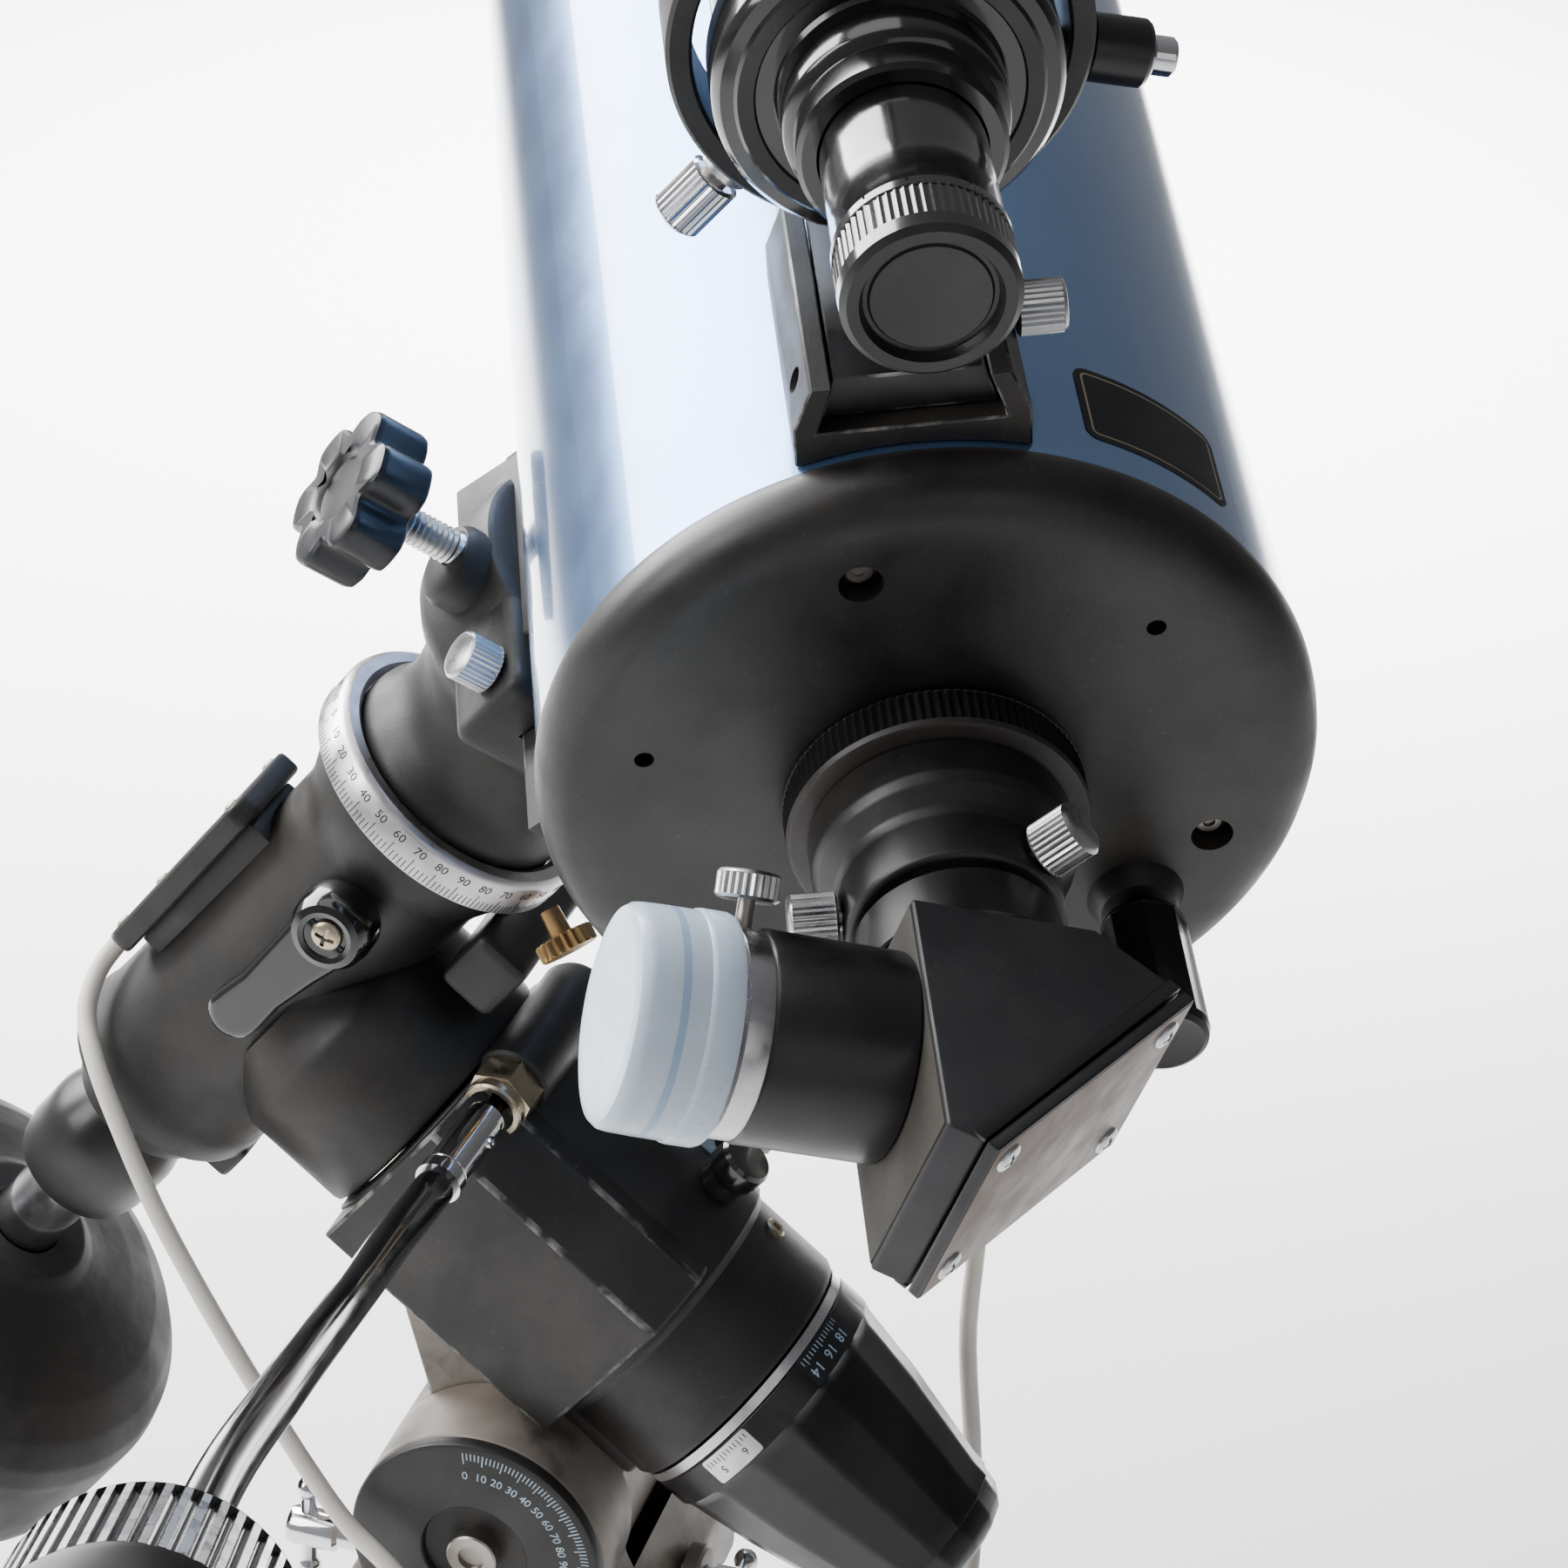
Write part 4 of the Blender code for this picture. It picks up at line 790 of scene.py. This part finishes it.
# ---- polar body ----
P = "polar_head"
barrel = lathe("polar_barrel", POL, "Y",
               [(16.4, -147), (31.2, -147), (32.8, -146.4), (33.5, -145), (33.5, -123), (34.2, -122),
                (34.6, -121.4), (35.4, -120.8), (35.5, -120), (35.5, -55.4), (34.9, -54.8), (34.9, -54),
                (35.5, -53.4), (35.5, -51.4), (34.6, -49.9), (34, -49.6), (28.7, -49.6), (28.7, -63.9),
                (16.4, -63.9)], None, [CAST, RIM], 224, True)
side = [(-36.2, -24.6), (36.2, -24.6), (36.2, 18), (25, 30), (-25, 30), (-36.2, 18)]
flat = prism("polar_sides", POL, "Y", side, -119.6, -50.2, None, [CAST, WORN], 1, 3, 1)
carve(flat, [drill(POL, "Y", 34.2, -200, 0, 96)])
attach(flat, P)
carve(barrel, [block("tool", POL, (-60, -160, -60), (60, -40, -25), None, None, 0),
               drill(WRM, "X", 5.6, -30, 16, 48)])
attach(barrel, P)
fit(barrel, "polar_housing")
NECK = [(-60, -23), (-62, -26), (-97.6, -52), *arc(-128.3, -57.4, 30.9, 10, -190, 40), (-143.5, -34.5),
        (-143.5, -23)]
prism("polar_neck", POL, "X", NECK, -20.6, 20.6, P, [GREY, WORN], 1.4, 3, 0)
block("polar_deck", POL, (-24.2, -143.6, -27.5), (24.2, -58, -22.5), P, [CAST, RIM], 1.8, 3)
block("polar_tail", HUB, (-9.6, -9.6, -48), (9.6, 9.6, -22), P, GREY, 1.2)
lathe("worm_case", WRM, "X", [(5.7, -18), (8.4, -18), (9, -17.2), (9, 18), (8, 20), (5.7, 20)], P, CAST, 64,
      True)
nut = prism("worm_lock_nut", WRM, "X", arc(0, 0, 8.6, 15, 315, 5), -25.6, -17.8, P, NICKEL, 0.5)
carve(nut, [drill(WRM, "X", 5.7, -40, 0, 48)])
lathe("worm_bush", WRM, "X", [(5.7, -28.6), (6.9, -28.6), (7.3, -28), (7.3, -25.5), (5.7, -25.5)], P, NICKEL,
      64, True)
fit(lathe("worm_and_ferrule", WRM, "X",
          [(0, -52, 1), (4.4, -52, 1), (5.1, -51.4, 1), (5.1, -34, 1), (4.6, -33.4, 1), (4.6, -31.2, 1),
           (2.8, -30.5, 1), (2.8, -10), (5.2, -9, 1), (5.2, 9), (2.8, 10), (2.8, 14), (0, 14)], "worm",
          [DARK, CHROME], 64), "polar_worm")
lathe("ferrule_set_screw", pointing(WRM, (-39, -3.6, 3.6), (0, -1, 1)), "Z",
      [(0, -0.5), (1.5, -0.5), (1.5, 0.6), (0.8, 0.6), (0.8, 0), (0, 0)], "worm", CHROME, 24)

# ---- slow-motion shaft and grip ----
GRIP_RIBS = 52
ROUTE = [(-52.4, 0, 0), (-58, 0, 0.2), (-67, 0.5, 2.6), (-90, 2.5, 14), (-118, 5, 32), (-146, 8, 52),
         (-195, 13, 86), (-243, 17, 118), (-300.5, 17.8, 158.2)]


def hose(name, place, points, radius, body, stuff, sides):
    """Round tube along a line, with closed ends."""
    verts, faces = [], []
    normal = Vector((0, 1, 0))
    for i, p in enumerate(points):
        way = (points[min(i + 1, len(points) - 1)] - points[max(i - 1, 0)]).normalized()
        side = (normal - way * normal.dot(way)).normalized()
        up = way.cross(side)
        for k in range(sides):
            a = 2 * math.pi * k / sides
            verts.append(p + side * (radius * math.cos(a)) + up * (radius * math.sin(a)))
    for i in range(len(points) - 1):
        for k in range(sides):
            j = (k + 1) % sides
            faces.append([i * sides + k, i * sides + j, (i + 1) * sides + j, (i + 1) * sides + k])
    faces += [list(range(sides)), list(range((len(points) - 1) * sides, len(points) * sides))]
    return solid(name, place, verts, faces, body, stuff)


route = spline(ROUTE, 240)
fit(hose("flexible_shaft", WRM, route, 4.6, P, SHINY, 64), "slow_motion_shaft")
hose("shaft_sleeve", WRM, route[:19], 5.5, P, CHROME, 48)
end = Vector(ROUTE[-1])
way = (end - Vector(ROUTE[-2])).normalized()
GRIP = WRM @ Matrix.Translation(end + way * 0.3) @ way.to_track_quat("Y", "Z").to_matrix().to_4x4()
fit(lathe("grip_knob", GRIP, "Y",
          [(0, 0), (20.6, 0), (21.6, 0.6), (22.6, 1.4), (22.7, 1.9), (23.4, 2.6, 1), (23.5, 3.2, 1),
           (23.5, 3.25, 1), (23.5, 29.6, 1), (23.5, 29.65), (22.8, 31.2), (21, 33.6), (19.6, 34), (0, 34)],
          "slow_motion_grip", [DARK, SHINY], 480, False, ribs(GRIP_RIBS, 0.9, 3.22, 29.62, 0.8)),
    "slow_motion_knob")
marks = Marks()
for k in range(GRIP_RIBS):
    marks.bar(on_drum(GRIP, "Y", 23.42, 360 * k / GRIP_RIBS, 16.4), (1.25, 26.2), 0.12)
marks.make("grip_ribs", "slow_motion_grip", SILVER)

# ---- polar circle, cap and windows ----
CAP_R = 32.4
fit(lathe("polar_setting_circle", POL, "Y", [(17, -147.3), (32.5, -147.3), (32.5, -149.7), (17, -149.7)],
          "polar_dial", CIRCLE, 192, True), "polar_circle")


def cap_shape(angle, height, radius):
    if radius < 18 or height > -158.5:
        return radius
    sector = math.pi / 8
    inside = (angle + sector / 2) % sector - sector / 2
    return radius * math.cos(sector / 2) / math.cos(inside)


fit(lathe("polar_end_cap", POL, "Y",
          [(0, -217), (12, -216.9), (16.4, -216.2), (19.4, -214.8), (21.2, -212.4), (22.2, -207.6),
           (22.9, -207.2), (23.3, -203), (28.8, -178), (31.4, -161), (32.2, -158.8), (32.4, -158),
           (32.4, -150.4), (32, -150), (29, -150), (26.5, -177), (19, -211), (0, -211.6)], "polar_cap",
          DARK, 160, False, cap_shape), "polar_cap")


def window(name, clock, y, ground, ink, count, words, size):
    """Small scale on the polar cap's ring."""
    panel(name, POL, CAP_R, clock, y, 0.8, 0, -0.2, 0.18, "polar_cap", ground)
    marks = Marks()
    for k in range(count):
        c = clock[0] + (clock[1] - clock[0]) * (k + 1) / (count + 1)
        long = 1.5 if k % 5 == 2 else 1
        marks.bar(on_drum(POL, "Y", CAP_R + 0.18, c, y[1] - 1.1 - 0.5 * long), (0.22, 1.4 * long), 0.05)
    for k, word in enumerate(words):
        c = clock[0] + (clock[1] - clock[0]) * (k + 0.5) / len(words)
        marks.text(on_drum(POL, "Y", CAP_R + 0.18, c, y[0] * 0.62 + y[1] * 0.38, 180), word, size, 0.05)
    marks.make(name + "_marks", "polar_cap", ink)


window("polar_scale", (96, 126), (-158, -149.9), PAPER, WHITE, 14, ("18", "16", "14"), 3.7)
window("cap_scale", (160, 186), (-157.6, -150.6), CIRCLE, INK, 12, ("6", "5"), 2.8)
lathe("polar_set_screw", pointing(POL, (5, -128, 33.2), (0.15, 0, 1)), "Z",
      [(0, -1), (2.6, -1), (2.6, 0.9), (2.1, 1.3), (1.2, 1.3), (1.1, 0.4), (0, 0.4)], P, NICKEL, 32)
block("pale_stud", pointing(POL, (12, -104, 33.2), (0.35, 0, 1)), (-2.6, -4, 0), (2.6, 4, 3.2), P, WHITE, 1,
      3)
fit(lathe("polar_lever_hub", at(POL, (0, -110, 0)), "Z",
          [(0, 36), (5.6, 36), (5.6, 40), (6.5, 41), (6.7, 42), (6.7, 46.2), (6, 47.3), (0, 47.6)],
          "polar_lever", SHINY, 72), "polar_clamp_lever")
prism("polar_lever_arm", at(POL, (0, -110, 0), (0, 0, -50)), "Z",
      [(-4.6, -2), (-3.4, 22)] + arc(0, 23.4, 3.5, 170, 10, 8) + [(3.4, 22), (4.6, -2)], 41.4, 46.4,
      "polar_lever", SHINY, 1.4, 3)

# ---- azimuth base, hub and bolts ----
A = "azimuth_head"
fit(lathe("azimuth_disc", WORLD, "Z", [(0, 0), (37.2, 0), (38, 0.8), (38, 7), (37.2, 8), (0, 8)],
          "tripod_plate", [CAST, RIM], 144), "azimuth_plate")
CHEEK = [(-40, 8.3), (40, 8.3), (40, 30)] + arc(0, 62, 31, -18, 198, 54) + [(-40, 30)]
cheeks = prism("fork", WORLD, "X", CHEEK, -43, 43, None, [GREY, WORN], 1.6, 3, 0)
carve(cheeks, [block("tool", WORLD, (-21.2, -32, 12.5), (21.2, 32, 120), None, None, 0),
               block("tool", WORLD, (-21.2, -60, 50), (21.2, 60, 121), None, None, 0),
               drill(HUB, "X", 6.3, -60, 60, 40), drill(at(WORLD, (0, 0, 20)), "Y", 4.1, 28, 60),
               drill(at(WORLD, (0, 0, 30)), "Y", 4.1, -60, -28)])
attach(cheeks, A)
fit(cheeks, "azimuth_base")
for sign, z, size in ((1, 20, 9.4), (-1, 30, 9)):
    lathe("bolt_boss_%d" % z, at(WORLD, (0, sign * 39.6, z)), "Y",
          [(4.2, 0), (size, 0), (size, sign * 3.4), (size - 0.8, sign * 4.2), (4.2, sign * 4.2)], A, GREY, 64,
          True)
fit(lathe("hub_axle", HUB, "X",
          [(0, -43), (6, -43), (6, 43.4), (25.4, 43.4), (26, 44), (26, 46), (22, 49), (9.4, 49), (9, 49.4),
           (8.4, 52.6), (7.8, 53), (0, 53)], A, CAST, 128), "latitude_axle")
fit(lathe("hub_scale", HUB, "X",
          [(0, -44.5), (12.3, -44.5), (12.7, -44.7), (13.1, -46.3), (13.5, -46.6), (29.4, -46.6),
           (30.6, -46.2), (31, -45.4), (31, -43.4), (0, -43.4)], A, CAST, 160), "latitude_scale_cap")
lathe("hub_bolt", HUB, "X", [(0, -47.4), (3, -47.4), (3.2, -48.6), (5.8, -48.6), (6.2, -48.2), (6.2, -44.4),
                             (0, -44.4)], A, STEEL, 64)
marks = Marks()


def on_hub(clock, radius):
    """Frame on the hub's west face; clock from north, over the top."""
    a = math.radians(clock)
    out = Vector((0, math.cos(a), math.sin(a)))
    side = Vector((-1, 0, 0))
    turned = Matrix((out.cross(side), out, side)).transposed().to_4x4()
    return HUB @ Matrix.Translation(out * radius + side * 46.6) @ turned


for k in range(46):
    long = k % 5 == 0
    marks.bar(on_hub(84 + 2 * k, 27.9 - (0.5 if long else 0)), (0.28, 3 if long else 1.9), 0.06)
for k in range(10):
    marks.text(on_hub(84 + 10 * k, 22.4), str(10 * k), 3, 0.06)
marks.make("hub_marks", A, WHITE)
for side, sign in (("west", -1), ("east", 1)):
    place = at(WORLD, (0, 26, 20), (0, 90 * sign, 0))
    thumbscrew("azimuth_handle_" + side, place, "azimuth_knob_" + side, 11, 47, 61, 3.9, 43.6, 22, DARK, CAST)


def t_bolt(name, body, node, z, turn, tip, collar, handle, length, lean=0):
    """Bolt with a ball-ended cross bar."""
    place = at(WORLD, (0, 0, z), (0, 0, turn))
    fit(lathe(name, place, "Y",
              [(0, tip), (3.4, tip), (3.9, tip + 0.5), (3.9, collar), (5.2, collar + 1), (5.2, handle + 3.2),
               (4.6, handle + 4.6), (3.4, handle + 5), (0, handle + 5)], body, CHROME, 64), node)
    turns = [math.pi * i / 12 for i in range(3, 13)]
    ball = [(3.1 * math.sin(a), length + 0.2 - 3.1 * math.cos(a)) for a in turns]
    upper = [(2, 0), (2, length - 2.6)] + ball[1:-1] + [(0, length + 3.3)]
    lower = [(r, -h) for r, h in reversed(upper)]
    lathe(name + "_bar", at(place, (0, handle, 0), (0, lean, 0)), "Z", lower[:-1] + upper[1:], body, CHROME,
          48)


t_bolt("north_bolt", "latitude_screw", "latitude_bolt_north", 20, 0, 13.3, 52, 61, 12)
t_bolt("south_bolt", A, "latitude_bolt_south", 30, 180, 27, 46, 51.5, 11, 90)

# ---- finish of the CAD nodes that stay ----
for name, stuff in (("corrector_lens", GLASS), ("finder_lens", GLASS), ("primary_mirror", MIRROR),
                    ("diagonal_mirror", MIRROR), ("primary_baffle", DEEP), ("polar_worm_wheel", BRASS)):
    for piece_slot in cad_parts[name].material_slots:
        piece_slot.material = stuff

# ---- floor, light ----
floor_paint = Paint("floor_paint", srgb(250, 250, 250), 0.75).clouds(1.2, srgb(246, 247, 248), 0.5)
floor_paint.bump(8, 0.02)
floor_data = bpy.data.meshes.new("floor")
corners = [(x, y, FLOOR_Z) for x, y in ((-9, -9), (9, -9), (9, 9), (-9, 9))]
floor_data.from_pydata(corners, [], [[0, 1, 2, 3]])
floor = link("floor", floor_data, None, floor_paint.mat, 0)


def softbox(name, place, target, size, power):
    """Rectangular area light that looks at a point, in metres."""
    lamp = bpy.data.lights.new(name, "AREA")
    lamp.shape = "RECTANGLE"
    lamp.size, lamp.size_y = size
    lamp.energy = power
    holder = add(name, lamp)
    holder.location = place
    holder.rotation_euler = (Vector(target) - Vector(place)).to_track_quat("-Z", "Y").to_euler()


centre = Vector((-0.05, -0.02, 0.2))
softbox("key", centre + Vector((0.36, 0.75, 0.52)).normalized() * 2.2, centre, (1.9, 1.5), 170)
softbox("left", centre + Vector((-0.55, 0.75, 0.6)).normalized() * 2.6, centre, (1.2, 1.6), 45)
softbox("top", centre + Vector((-0.2, 0.6, 2.4)), centre, (1.6, 1.6), 14)
softbox("front", centre + Vector((-1.7, -1.4, 0.7)), centre, (1.6, 1.2), 4)

wash = bpy.data.lights.new("floor_wash", "SPOT")
wash.energy = 2600
wash.spot_size = math.radians(74)
wash.spot_blend = 1
wash.shadow_soft_size = 0.4
add("floor_wash", wash).location = (2.3, 0.5, 2.3)

world = bpy.data.worlds.new("studio")
bpy.context.scene.world = world
world.use_nodes = True
tree = world.node_tree
back = tree.nodes["Background"]
coord = tree.nodes.new("ShaderNodeTexCoord")
split = tree.nodes.new("ShaderNodeSeparateXYZ")
tree.links.new(coord.outputs["Generated"], split.inputs["Vector"])
ramp = tree.nodes.new("ShaderNodeMapRange")
for socket, value in (("From Min", -0.9), ("From Max", 0.9), ("To Min", 0.10), ("To Max", 0.5)):
    ramp.inputs[socket].default_value = value
tree.links.new(split.outputs["Y"], ramp.inputs["Value"])
tree.links.new(ramp.outputs["Result"], back.inputs["Strength"])
back.inputs["Color"].default_value = (0.97, 0.98, 1, 1)
